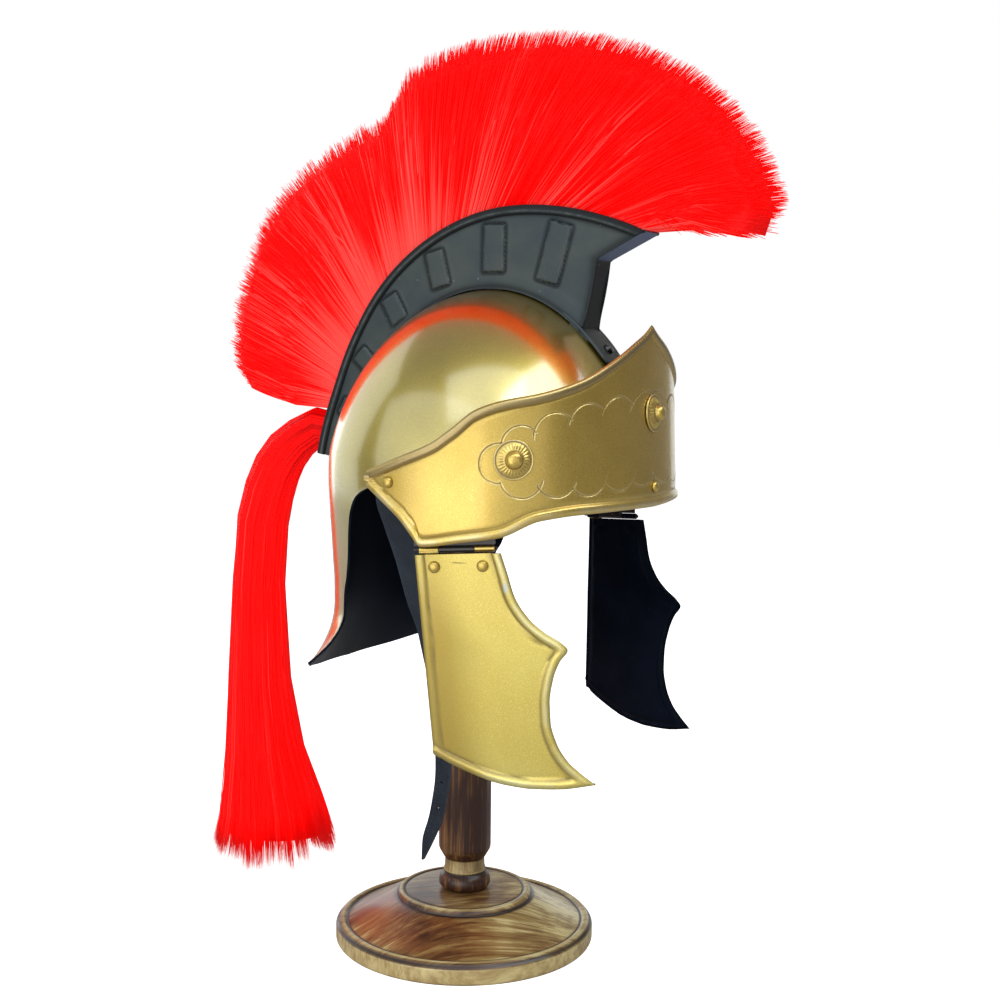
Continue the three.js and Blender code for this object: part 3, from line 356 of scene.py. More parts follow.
@dataclass(frozen=True)
class DyedHair:
    """Dyed bristle or hair; the mark "shade" tells one strand from the next and also carries painted
    sheen and light, and the emission is painted light.
    """

    name: str
    deep: Colour = (0.5, 0.0, 0.0)
    full: Colour = (0.95, 0.002, 0.002)
    # Pale pink for lighter strands and for the painted sheen and painted light on the strands.
    light: Colour = (1.0, 0.12, 0.105)
    roughness: float = 0.5
    glow: float = 0.38

    def make(self) -> bpy.types.Material:
        """Returns the material."""
        recipe = Recipe(self.name)
        shade = recipe.mark("shade")
        stops = ((0.0, self.deep), (0.3, self.full), (0.7, self.full), (1.0, self.light))
        colour = recipe.ramp(shade, stops)
        # The emission is painted light: the hair glows as if lit through.
        return recipe.finish(
            Base_Color=colour, Roughness=self.roughness, Emission_Color=colour,
            Emission_Strength=self.glow, Specular_IOR_Level=0.22, Specular_Tint=(1.0, 0.6, 0.6),
        )


@dataclass(frozen=True)
class PackedHair:
    """The dense inside of the plume, streaked along its strands by the piece's own UV map."""

    name: str
    deep: Colour = (0.66, 0.0, 0.0)
    full: Colour = (0.92, 0.002, 0.002)

    def make(self) -> bpy.types.Material:
        """Returns the material."""
        recipe = Recipe(self.name)
        chart = recipe.node("ShaderNodeUVMap", {"uv_map": "strands"})
        fine = recipe.vector("MULTIPLY", chart, (1.0, 0.012, 1.0))
        strands = recipe.noise(fine, 900.0, 2.0)
        locks = recipe.noise(fine, 90.0, 3.0)
        colour = recipe.mix((strands * 0.7 + locks * 0.3).step(0.34, 0.6), self.deep, self.full)
        # The emission is painted light that brightens the plume's shadowed inside.
        return recipe.finish(
            Base_Color=colour, Roughness=0.6, Emission_Color=colour, Emission_Strength=0.28,
            Specular_IOR_Level=0.15, Normal=recipe.bump(strands, 0.5, 0.8),
        )


@dataclass(frozen=True)
class StrapLeather:
    """Dyed leather with a fine grain and a rubbed edge."""

    name: str
    base: Colour = (0.008, 0.011, 0.017)
    rubbed: Colour = (0.026, 0.034, 0.045)

    def make(self) -> bpy.types.Material:
        """Returns the material."""
        recipe = Recipe(self.name)
        spot = recipe.place()
        grain = recipe.node("ShaderNodeTexVoronoi", {"feature": "F1"}, {"Vector": spot, "Scale": 900.0})
        cloud = recipe.noise(spot, 45.0, 4.0)
        edge = recipe.mark("raised")
        colour = recipe.mix(cloud.step(0.35, 0.7) * 0.6 + edge * 0.5, self.base, self.rubbed)
        return recipe.finish(
            Base_Color=colour, Roughness=0.48 + (cloud - 0.5) * 0.2 + grain * 0.1,
            Normal=recipe.bump(grain, 0.12, 0.5), Specular_IOR_Level=0.4, Specular_Tint=(0.7, 0.8, 1.0),
        )


@dataclass(frozen=True)
class Thread:
    """Waxed sewing thread."""

    name: str
    colour: Colour = (0.03, 0.034, 0.042)

    def make(self) -> bpy.types.Material:
        """Returns the material."""
        recipe = Recipe(self.name)
        twist = recipe.noise(recipe.place(), 2500.0, 1.0)
        dark = tuple(part * 0.5 for part in self.colour)
        return recipe.finish(Base_Color=recipe.mix(twist, dark, self.colour), Roughness=0.6)


@dataclass(frozen=True)
class StainedWood:
    """Turned hardwood, stained in streaks, scorched in its grooves and bare on its beads."""

    name: str
    grain: tuple[float, float, float]
    turn: float
    sweep: float = 0.0
    dark: Colour = (0.03, 0.009, 0.004)
    middle: Colour = (0.15, 0.062, 0.018)
    light: Colour = (0.32, 0.205, 0.07)
    bare: Colour = (0.64, 0.515, 0.24)
    red: Colour = (0.36, 0.085, 0.02)
    scorch: Colour = (0.02, 0.008, 0.005)
    stain: float = 0.5
    varnish: float = 0.5

    def make(self) -> bpy.types.Material:
        """Returns the material."""
        recipe = Recipe(self.name)
        plain = recipe.place()
        bend = recipe.node("ShaderNodeTexNoise", {}, {"Vector": plain, "Scale": 11.0, "Detail": 1.0}, 1)
        shift = recipe.vector("SCALE", bend, self.sweep)
        along = recipe.vector("ADD", recipe.place(self.grain, self.turn), shift)
        streak = recipe.noise(along, 1.0, 5.0, 0.62)
        fine = recipe.noise(along, 3.6, 4.0, 0.7)
        wash = recipe.noise(plain, 19.0, 4.0, 0.55)
        patch = recipe.noise(plain, 8.0, 2.0)
        tone = (streak * 0.4 + fine * 0.35 + wash * 0.25 + (patch - 0.5) * 0.5 - self.stain) * 4.0 + 0.5
        stops = ((0.0, self.dark), (0.36, self.middle), (0.72, self.light), (1.0, self.bare))
        colour = recipe.ramp(tone, stops)
        colour = recipe.mix(recipe.mark("red") * wash.step(0.3, 0.62) * 0.7, colour, self.red)
        # Pale: bare wood on beads, edges and neck, and a painted sheen on the plateau.
        pale = recipe.mark("pale")
        burnt = recipe.mark("burnt")
        soft = recipe.mix((fine * 0.5 + streak * 0.5).step(0.36, 0.66), self.light, self.bare)
        colour = recipe.mix((pale * 1.3 + (wash - 0.5) * 1.5).step(0.25, 1.15), colour, soft)
        smoke = (burnt * 1.25 + (wash - 0.5) * 1.1 + (streak - 0.5) * 0.5).step(0.15, 1.15)
        colour = recipe.mix(smoke, colour, self.scorch)
        rough = 0.4 + (fine - 0.5) * 0.3 + pale * 0.1
        return recipe.finish(
            Base_Color=colour, Roughness=rough, Specular_IOR_Level=0.3, Coat_Weight=self.varnish,
            Coat_Roughness=0.22, Normal=recipe.bump(fine * 0.5 + streak * 0.5, 0.25, 0.3),
        )


class Paints:
    """Every finish of the object, made once."""

    def __init__(self) -> None:
        """Makes the materials."""
        self.bowl = GoldPaint(
            "olive_gold", (0.50, 0.385, 0.045), (0.40, 0.30, 0.025), roughness=0.33, mottle=0.2,
            flake=0.09, lacquer=1.0, lacquer_roughness=0.15, lacquer_index=2.3,
        ).make()
        self.trim = GoldPaint(
            "warm_gold", (0.66, 0.475, 0.11), (0.53, 0.37, 0.08), tan=(0.27, 0.21, 0.125)
        ).make()
        # The guard gold is lighter than the trim gold, partly to stand in for light that the guard's face
        # does not get.
        self.guard = GoldPaint(
            "guard_gold", (0.70, 0.595, 0.16), (0.65, 0.51, 0.115), worn_and_highlight=(0.76, 0.76, 0.5),
            tan=(0.36, 0.25, 0.045), roughness=0.4, mottle=0.2,
        ).make()
        self.lining = Enamel(
            "navy_inside", (0.002, 0.004, 0.009), (0.005, 0.008, 0.017), worn_and_highlight=(0.02, 0.024, 0.035),
            gloss=0.08, tint=(0.4, 0.6, 1.0), coat=0.0,
        ).make()
        self.crest = Enamel(
            "crest_black", (0.010, 0.020, 0.026), (0.038, 0.046, 0.038), worn_and_highlight=(0.17, 0.19, 0.19),
            tint=(0.85, 0.95, 1.0), roughness=0.42,
        ).make()
        # Lit and shaded copies of the crest black: the front sheet's upper part wears a painted blue
        # sheen and its lower part a painted shade.
        self.crest_front = Enamel(
            "crest_front_blue", (0.07, 0.10, 0.20), (0.10, 0.135, 0.25), gloss=0.2, tint=(0.6, 0.7, 1.0),
            roughness=0.4, coat=0.0,
        ).make()
        self.crest_shaded = Enamel(
            "crest_shaded", (0.006, 0.010, 0.013), (0.012, 0.017, 0.02), gloss=0.3, coat=0.0
        ).make()
        self.rivet = Enamel(
            "rivet_black", (0.005, 0.006, 0.008), (0.008, 0.01, 0.013), roughness=0.22, coat=0.8
        ).make()
        self.hinge = Enamel("hinge_black", (0.012, 0.011, 0.010), (0.04, 0.034, 0.026)).make()
        self.hair = DyedHair("dyed_hair").make()
        self.packed = PackedHair("packed_hair").make()
        self.leather = StrapLeather("strap_leather").make()
        self.thread = Thread("strap_thread").make()
        self.disc_wood = StainedWood("disc_wood", (150.0, 12.0, 60.0), -42.0, 2.2, stain=0.48).make()
        self.post_wood = StainedWood(
            "post_wood", (230.0, 230.0, 9.0), 0.0, 0.3, stain=0.575, varnish=0.2
        ).make()


# ---- Mesh work


@dataclass(frozen=True)
class Table:
    """A smooth curve through a row of keys and values, without overshoot."""

    keys: tuple[float, ...]
    values: tuple[float, ...]

    def at(self, key: Union[float, Array]) -> Array:
        """The curve's value at a key, held flat beyond its ends.

        Args:
            key: one key or several.

        Returns:
            The value at each key.
        """
        x, y = np.array(self.keys, float), np.array(self.values, float)
        step, rise = np.diff(x), np.diff(y)
        slope = rise / step
        tangent = np.empty(len(x))
        tangent[0], tangent[-1] = slope[0], slope[-1]
        before, after = slope[:-1], slope[1:]
        same = before * after > 0
        near, far = 2 * step[1:] + step[:-1], step[1:] + 2 * step[:-1]
        safe_before, safe_after = np.where(same, before, 1.0), np.where(same, after, 1.0)
        mean = (near + far) / (near / safe_before + far / safe_after)
        tangent[1:-1] = np.where(same, mean, 0.0)
        at = np.clip(np.asarray(key, float), x[0], x[-1])
        i = np.clip(np.searchsorted(x, at, side="right") - 1, 0, len(step) - 1)
        t = (at - x[i]) / step[i]
        return (
            y[i] * (1 + 2 * t) * (1 - t) ** 2
            + tangent[i] * step[i] * t * (1 - t) ** 2
            + y[i + 1] * t**2 * (3 - 2 * t)
            - tangent[i + 1] * step[i] * t**2 * (1 - t)
        )


def bell(value: Array, middle: float, width: float, power: int = 2) -> Array:
    """1 at the middle and 1/e at a width to each side; a higher power gives a flatter top."""
    return np.exp(-(((value - middle) / width) ** power))


def smooth_step(value: Array, low: float, high: float) -> Array:
    """Rises from 0 at low to 1 at high along a smooth curve."""
    share = np.clip((value - low) / (high - low), 0.0, 1.0)
    return share * share * (3 - 2 * share)


def lines(*runs: tuple[float, float, int]) -> Array:
    """Grid lines in runs of (from, to, steps), each run's last line being the next one's first."""
    parts = [np.linspace(start, end, steps, endpoint=False) for start, end, steps in runs]
    return np.concatenate([*parts, [runs[-1][1]]])


def both_sides(half: Array) -> Array:
    """Grid lines from 0 up, with their mirror image before them."""
    return np.concatenate([-half[::-1], half[1:]])


def mapped_grid(
    us: Array, vs: Array, place: Place, notes: Optional[Mapping[str, Place]] = None
) -> Mesh:
    """A grid moved into shape.

    Args:
        us: values of the grid's first direction.
        vs: values of its second direction.
        place: gives the corners' places from those values.
        notes: float layers by name, each given by its own function of those values.

    Returns:
        The mesh, in millimetres.
    """
    bm = bmesh.new()
    bmesh.ops.create_grid(bm, x_segments=len(us) - 1, y_segments=len(vs) - 1, size=0.5)
    flat = np.array([vert.co[:2] for vert in bm.verts]) + 0.5
    u = us[np.rint(flat[:, 0] * (len(us) - 1)).astype(int)]
    v = vs[np.rint(flat[:, 1] * (len(vs) - 1)).astype(int)]
    for vert, spot in zip(bm.verts, place(u, v)):
        vert.co = spot
    for name, rule in (notes or {}).items():
        write_layer(bm, name, rule(u, v))
    bm.normal_update()
    return bm


def write_layer(bm: Mesh, name: str, values: Array) -> None:
    """Stores a float for each vertex.

    Args:
        bm: the mesh.
        name: the layer's name.
        values: a value for each vertex.
    """
    layer = bm.verts.layers.float.get(name) or bm.verts.layers.float.new(name)
    for vert, value in zip(bm.verts, values):
        vert[layer] = float(value)


def add_mark(bm: Mesh, name: str, values: Array) -> None:
    """Stores each vertex's new mark where it is stronger than the one that is there."""
    write_layer(bm, name, np.maximum(read_layer(bm, name), values))


def read_layer(bm: Mesh, name: str) -> Array:
    """Reads back the float of each vertex."""
    layer = bm.verts.layers.float[name]
    return np.array([vert[layer] for vert in bm.verts])


def refine(bm: Mesh, near: Array, cuts: int) -> None:
    """Cuts the faces finer whose corners are near a drawn line.

    Args:
        bm: the mesh.
        near: true for each vertex that is near the line.
        cuts: how many cuts each edge gets.
    """
    bm.verts.ensure_lookup_table()
    bm.verts.index_update()
    edges = {
        edge
        for face in bm.faces
        if any(near[vert.index] for vert in face.verts)
        for edge in face.edges
    }
    bmesh.ops.subdivide_edges(bm, edges=list(edges), cuts=cuts, use_grid_fill=True)
    bm.normal_update()


def join_seams(bm: Mesh) -> None:
    """Merges the doubles of a seam or pole and turns the faces one way.

    Args:
        bm: the mesh.
    """
    bmesh.ops.remove_doubles(bm, verts=bm.verts, dist=SAME_SPOT)
    bmesh.ops.dissolve_degenerate(bm, dist=NO_LENGTH, edges=bm.edges)
    bmesh.ops.recalc_face_normals(bm, faces=bm.faces)


def face_away(bm: Mesh, inside: Callable[[Vector], Vector]) -> None:
    """Turns an open sheet's faces away from the inside point that belongs to each face's place.

    Args:
        bm: an open sheet.
        inside: gives the inside point for a place.
    """
    total = 0.0
    for face in bm.faces:
        middle = face.calc_center_median()
        total += face.normal.dot(middle - inside(middle)) * face.calc_area()
    if total < 0:
        bmesh.ops.reverse_faces(bm, faces=bm.faces)
    bm.normal_update()


def spun(profile: Sequence[tuple[float, float]], steps: int) -> Mesh:
    """A turned piece about Z from a profile of (radius, height).

    Args:
        profile: its points, from the foot up.
        steps: faces in a full turn.

    Returns:
        The mesh.
    """
    bm = bmesh.new()
    corners = [bm.verts.new((radius, 0.0, height)) for radius, height in profile]
    edges = [bm.edges.new(pair) for pair in zip(corners, corners[1:])]
    bmesh.ops.spin(
        bm, geom=[*corners, *edges], axis=(0, 0, 1), cent=(0, 0, 0), angle=math.tau, steps=steps,
        use_merge=True,
    )
    join_seams(bm)
    return bm


def turned_sizes(bm: Mesh) -> tuple[Array, Array]:
    """Radius and height of each vertex of a turned piece."""
    spots = np.array([vert.co for vert in bm.verts])
    return np.hypot(spots[:, 0], spots[:, 1]), spots[:, 2]


def strongest(*marks: Array) -> Array:
    """The largest of several marks at each vertex."""
    return np.maximum.reduce(marks)


def eased(profile: Sequence[tuple[float, float, float]], bends: int = 4) -> list[tuple[float, float]]:
    """Rounds the corners of a profile.

    Args:
        profile: (radius, height, rounding) rows; a corner with no rounding stays sharp.
        bends: points on each rounded corner.

    Returns:
        The (radius, height) points.
    """
    made: list[tuple[float, float]] = []
    most = 0.48  # share of a side that one rounding may take
    for i, (x, z, ease) in enumerate(profile):
        if ease <= 0 or i in (0, len(profile) - 1):
            made.append((x, z))
            continue
        here = Vector((x, z))
        before, after = Vector(profile[i - 1][:2]) - here, Vector(profile[i + 1][:2]) - here
        reach = min(ease, before.length * most, after.length * most)
        start, end = here + before.normalized() * reach, here + after.normalized() * reach
        for step in range(bends + 1):
            t = step / bends
            spot = start * (1 - t) ** 2 + here * 2 * t * (1 - t) + end * t**2
            made.append((spot.x, spot.y))
    return made


def stand_on(bm: Mesh, place: Vector, direction: Vector) -> Mesh:
    """Moves a piece whose own Z is to lie along a direction, with its origin at a place.

    Args:
        bm: the mesh.
        place: where its origin goes.
        direction: where its Z goes.

    Returns:
        The same mesh.
    """
    turn = UP.rotation_difference(direction).to_matrix().to_4x4()
    bmesh.ops.transform(bm, matrix=Matrix.Translation(place) @ turn, verts=bm.verts)
    return bm


def mirrored(bm: Mesh, side: Side) -> Mesh:
    """Mirrors a right-hand piece to the left side, its faces still turned out.

    Args:
        bm: the right-hand piece.
        side: the side it is for.

    Returns:
        The same mesh.
    """
    if side is Side.LEFT:
        bmesh.ops.scale(bm, vec=(-1, 1, 1), verts=bm.verts)
        bmesh.ops.reverse_faces(bm, faces=bm.faces)
    return bm


def as_data(bm: Mesh, name: str) -> bpy.types.Mesh:
    """Turns a mesh in the making into mesh data and frees it.

    Args:
        bm: the mesh in the making.
        name: the data's name.

    Returns:
        The mesh data.
    """
    data = bpy.data.meshes.new(name)
    bm.to_mesh(data)
    bm.free()
    return data


def add_object(name: str, data: bpy.types.ID) -> bpy.types.Object:
    """Makes an object of its data and links it to the scene.

    Args:
        name: the object's name.
        data: its mesh, light or camera.

    Returns:
        The object.
    """
    made = bpy.data.objects.new(name, data)
    bpy.context.scene.collection.objects.link(made)
    return made


def apply_modifiers(made: bpy.types.Object) -> None:
    """Gives an object the mesh that its modifiers make, and drops them.

    Args:
        made: the object.
    """
    bpy.context.view_layer.update()
    shown = made.evaluated_get(bpy.context.evaluated_depsgraph_get())
    made.data = bpy.data.meshes.new_from_object(shown)
    made.modifiers.clear()


def shade(data: bpy.types.Mesh, sharp: float = SHARP) -> None:
    """Shades a mesh smooth, with an edge wherever it bends by more than an angle in degrees."""
    data.shade_smooth()
    data.set_sharp_from_angle(angle=math.radians(sharp))


@dataclass
class Piece:
    """A finished mesh on its way into the scene."""

    name: str
    mesh: Mesh
    paints: Sequence[bpy.types.Material]
    slot: Slot
    body: str = "helmet"
    stands_for: Sequence[str] = ()
    sharp: float = SHARP
    wall: float = 0.0
    bevel: float = 0.0

    def place(self) -> bpy.types.Object:
        """Makes the object, gives it its wall and its bevel, and lets it ride on its body.

        Returns:
            The object.
        """
        bmesh.ops.scale(self.mesh, vec=(MM, MM, MM), verts=self.mesh.verts)
        made = add_object(self.name, as_data(self.mesh, self.name))
        for paint in self.paints:
            made.data.materials.append(paint)
        if self.wall:
            shell = made.modifiers.new("wall", "SOLIDIFY")
            shell.thickness = self.wall * MM
            shell.offset = -1.0
            shell.use_even_offset = True
            shell.material_offset = shell.material_offset_rim = len(self.paints) - 1
        if self.bevel:
            rounding = made.modifiers.new("edges", "BEVEL")
            rounding.width = self.bevel * MM
            rounding.segments = 2
            rounding.limit_method = "ANGLE"
            rounding.angle_limit = math.radians(BEVEL_FROM)
        if made.modifiers:
            apply_modifiers(made)
        shade(made.data, self.sharp)
        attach(made, self.body)
        if self.stands_for:
            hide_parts(*self.stands_for)
        LOG.info("%s: %d faces", self.name, len(made.data.polygons))
        return made


def join_mesh(whole: Mesh, part: Mesh) -> None:
    """Adds a part to a whole and frees the part.

    Args:
        whole: the mesh that grows.
        part: what is added.
    """
    data = as_data(part, "part")
    whole.from_mesh(data)
    bpy.data.meshes.remove(data)


def punch(piece: bpy.types.Object, centre: Vector, direction: Vector, radius: float) -> None:
    """Cuts a round hole through a finished piece.

    Args:
        piece: the piece.
        centre: a place on the hole's axis, in millimetres.
        direction: the axis.
        radius: in millimetres.
    """
    bm = bmesh.new()
    bmesh.ops.create_cone(bm, cap_ends=True, segments=24, radius1=radius, radius2=radius, depth=10)
    stand_on(bm, centre, direction.normalized())
    bmesh.ops.scale(bm, vec=(MM, MM, MM), verts=bm.verts)
    tool = add_object("punch", as_data(bm, "punch"))
    cut = piece.modifiers.new("hole", "BOOLEAN")
    cut.operation = "DIFFERENCE"
    cut.object = tool
    apply_modifiers(piece)
    bpy.data.objects.remove(tool)


# ---- The helmet's form


@dataclass(frozen=True)
class HelmetForm:
    """Sizes of the bowl, the brow band and the crest, and the surfaces that they give."""

    widest_z: float = 258.0
    half_width: float = 106.5
    half_length: float = 95.0
    crown: float = 122.5
    centre_y: float = -19.5
    bowl_wall: float = 1.4
    rim_z: float = 268.0
    notch_z: float = 275.5
    corner_z: float = 177.0
    nape_z: float = 161.0
    flare_top_z: float = 205.0
    flare: float = 20.0
    draw_in: float = 6.0
    notch_start: float = 86.0
    notch_top: float = 101.0
    seat: float = 0.3
    band_wall: float = 1.5
    band_bulge: float = 5.0
    band_lean: float = 0.04
    band_lean_z: float = 270.0
    band_peak_z: float = 360.2
    band_foot_z: float = 262.3
    band_corner_z: float = 245.9
    crest_depth: float = 65.0
    side_rivet: float = 93.2
    side_rivet_up: float = 0.55

    def edge_z(self, angle: Array) -> Array:
        """Height of the bowl's lower edge.

        Args:
            angle: round the helmet from the front, in degrees.

        Returns:
            The height of the edge.
        """
        around = np.abs(angle)
        drop = BOWL_DROP.at(around)
        middle = BOWL_MIDDLE.at(around)
        low = self.notch_z - (self.notch_z - self.corner_z) * drop
        low = low - (self.corner_z - self.nape_z) * middle
        rise = (around - self.notch_start) / (self.notch_top - self.notch_start)
        front = self.rim_z + (self.notch_z - self.rim_z) * np.clip(rise, 0.0, 1.0)
        return np.where(around < self.notch_top, front, low)

    def plan(self, angle: Array, z: Array, offset: Array) -> Array:
        """A place on the bowl's elliptic plan, moved out by an offset.

        Args:
            angle: round the helmet from the front, in degrees.
            z: height.
            offset: distance out from the plan.

        Returns:
            The place.
        """
        t = np.radians(angle)
        across, ahead = -np.sin(t), -np.cos(t)
        nx, ny = across / self.half_width, ahead / self.half_length
        size = np.hypot(nx, ny)
        x = self.half_width * across + nx / size * offset
        y = self.centre_y + self.half_length * ahead + ny / size * offset
        return np.stack([x, y, z + 0 * x], -1)

    def nape(self, angle: Array, z: Array) -> Array:
        """How far the back stands out from the plain bowl: drawn in, then flared.

        Args:
            angle: round the helmet from the front, in degrees.
            z: height.

        Returns:
            The distance out.
        """
        around = np.abs(angle)
        weight = smooth_step(around, 92.0, 126.0)
        edge = np.minimum(self.edge_z(around), self.corner_z)
        turned = np.maximum(0.0, (self.flare_top_z - z) / (self.flare_top_z - edge))
        flare = self.flare * BOWL_FLARE.at(around) * turned**2
        down = (self.widest_z - z) / (self.widest_z - self.flare_top_z)
        return flare - self.draw_in * weight * NAPE_DRAW.at(down)

    def bowl(self, angle: Array, z: Array, offset: float) -> Array:
        """A place on the bowl.

        Args:
            angle: round the helmet from the front, in degrees.
            z: height.
            offset: distance out from the bowl.

        Returns:
            The place.
        """
        away = offset + self.nape(angle, z)
        rise = np.maximum(0.0, z - self.widest_z)
        slice_ = np.sqrt(np.maximum(0.0, 1 - (rise / self.crown) ** 2))
        t = np.radians(angle)
        dome = np.stack(
            [-self.half_width * slice_ * np.sin(t), -self.half_length * slice_ * np.cos(t), rise], -1
        )
        dome = self.lifted(dome, away[..., None])
        return np.where((z > self.widest_z)[..., None], dome, self.plan(angle, z, away))

    def lifted(self, point: Array, offset: Union[float, Array]) -> Array:
        """Puts a place on the dome about its own centre into the helmet, moved out by an offset.

        Args:
            point: place about the dome's centre.
            offset: distance out.

        Returns:
            The place.
        """
        normal = point / np.array([self.half_width, self.half_length, self.crown]) ** 2
        normal = normal / np.linalg.norm(normal, axis=-1, keepdims=True)
        return point + np.array([0.0, self.centre_y, self.widest_z]) + normal * offset

    def band_top(self, angle: Array) -> Array:
        """Height of the band's upper edge."""
        return self.band_corner_z + (self.band_peak_z - self.band_corner_z) * BAND_TOP.at(np.abs(angle))

    def band_foot(self, angle: Array) -> Array:
        """Height of the band's lower edge."""
        return self.band_corner_z + (self.band_foot_z - self.band_corner_z) * BAND_FOOT.at(np.abs(angle))

    def band(self, angle: Array, z: Array, offset: Array) -> Array:
        """A place on the band's inner face, moved out by an offset.

        Args:
            angle: round the helmet from the front, in degrees.
            z: height.
            offset: distance out.

        Returns:
            The place.
        """
        t = np.radians(angle)
        bulge = self.band_bulge * np.sin(2 * t) ** 2
        lean = self.band_lean * np.maximum(0.0, z - self.band_lean_z) * np.maximum(0.0, np.cos(t))
        return self.plan(angle, z, self.seat + bulge - lean + offset)

    def band_spot(self, angle: float, up: float) -> tuple[Vector, Vector]:
        """The seat and the outward direction of a fastener, by angle and share of the height.

        Args:
            angle: round the helmet from the front, in degrees.
            up: share of the band's height.

        Returns:
            Seat and direction.
        """
        z = self.band_z(angle, up)
        spot = Vector(self.band(angle, z, self.band_wall + self.seat))
        around = Vector(self.band(angle + 1, z, 0.0) - self.band(angle - 1, z, 0.0))
        rise = Vector(self.band(angle, z + 1, 0.0) - self.band(angle, z - 1, 0.0))
        return spot, rise.cross(around).normalized()

    def band_z(self, angle: float, up: float) -> float:
        """Height on the band by its angle and the share of its own height there."""
        foot, top = float(self.band_foot(angle)), float(self.band_top(angle))
        return foot + (top - foot) * up

    def reach(self, angle: Array) -> Array:
        """Distance of the bowl from its centre in the middle plane, by the angle from straight up."""
        t = np.radians(angle)
        return 1 / np.hypot(np.sin(t) / self.half_length, np.cos(t) / self.crown)

    def crest_top(self, angle: Array) -> Array:
        """Distance of the channel's upper edge from the bowl's centre."""
        return self.reach(angle) + self.crest_depth * CREST_DEPTH.at(angle)

    def crest(self, x: Array, angle: Array, reach: Array) -> Array:
        """A place by X, the angle from straight up and the distance from the bowl's centre.

        Args:
            x: place across.
            angle: from straight up, negative to the front, in degrees.
            reach: distance from the centre.

        Returns:
            The place.
        """
        t = np.radians(angle)
        y = self.centre_y + reach * np.sin(t)
        z = self.widest_z + reach * np.cos(t)
        return np.stack([x + 0 * y, y, z], -1)

    def front(self, x: Array, up: Array, offset: float) -> Array:
        """A place on the bowl's front by X and the share of the crown's height."""
        ahead = self.half_length * np.sqrt(1 - up**2 - (x / self.half_width) ** 2)
        return self.lifted(np.stack([x, -ahead, up * self.crown], -1), offset)


EDGE_KEYS = (101, 109.2, 113.4, 115.6, 117, 119.3, 122.8, 124.2, 129, 136, 146, 162, 180)
BOWL_DROP = Table(EDGE_KEYS, (0, 0.061, 0.148, 0.26, 0.4, 0.515, 0.636, 1, 1, 1, 1, 1, 1))
BOWL_MIDDLE = Table(EDGE_KEYS, (0, 0, 0, 0, 0, 0, 0, 0, 0.2, 0.36, 0.6, 0.89, 1))
BOWL_FLARE = Table(EDGE_KEYS, (1, 1, 1, 1, 1, 1, 1, 1, 0.85, 0.765, 0.72, 0.72, 0.72))
NAPE_DRAW = Table((-0.604, -0.453, -0.132, 0.208, 0.566, 0.774, 1), (0, 0.15, 0.45, 0.68, 0.87, 0.98, 1))
BAND_TOP = Table(
    (0, 5, 11, 23.4, 34.8, 47.2, 58.5, 65.7, 72.9, 79, 88.8, 95, 101),
    (1, 0.957, 0.917, 0.825, 0.745, 0.687, 0.652, 0.612, 0.527, 0.463, 0.402, 0.365, 0.33),
)
BAND_FOOT = Table(
    (0, 19.5, 34.8, 47.2, 58.5, 70, 82, 85.3, 88.8, 95, 101),
    (1, 1.03, 1.005, 0.862, 0.36, 0.18, 0, 0.36, 0.774, 1.3, 1.768),
)
CREST_DEPTH = Table(
    (-31.5, -20, -10, 0, 15, 30, 45, 60, 77.5), (1, 0.855, 0.755, 0.68, 0.575, 0.49, 0.41, 0.368, 0.385),
)
FORM = HelmetForm()


# ---- Sub-assemblies


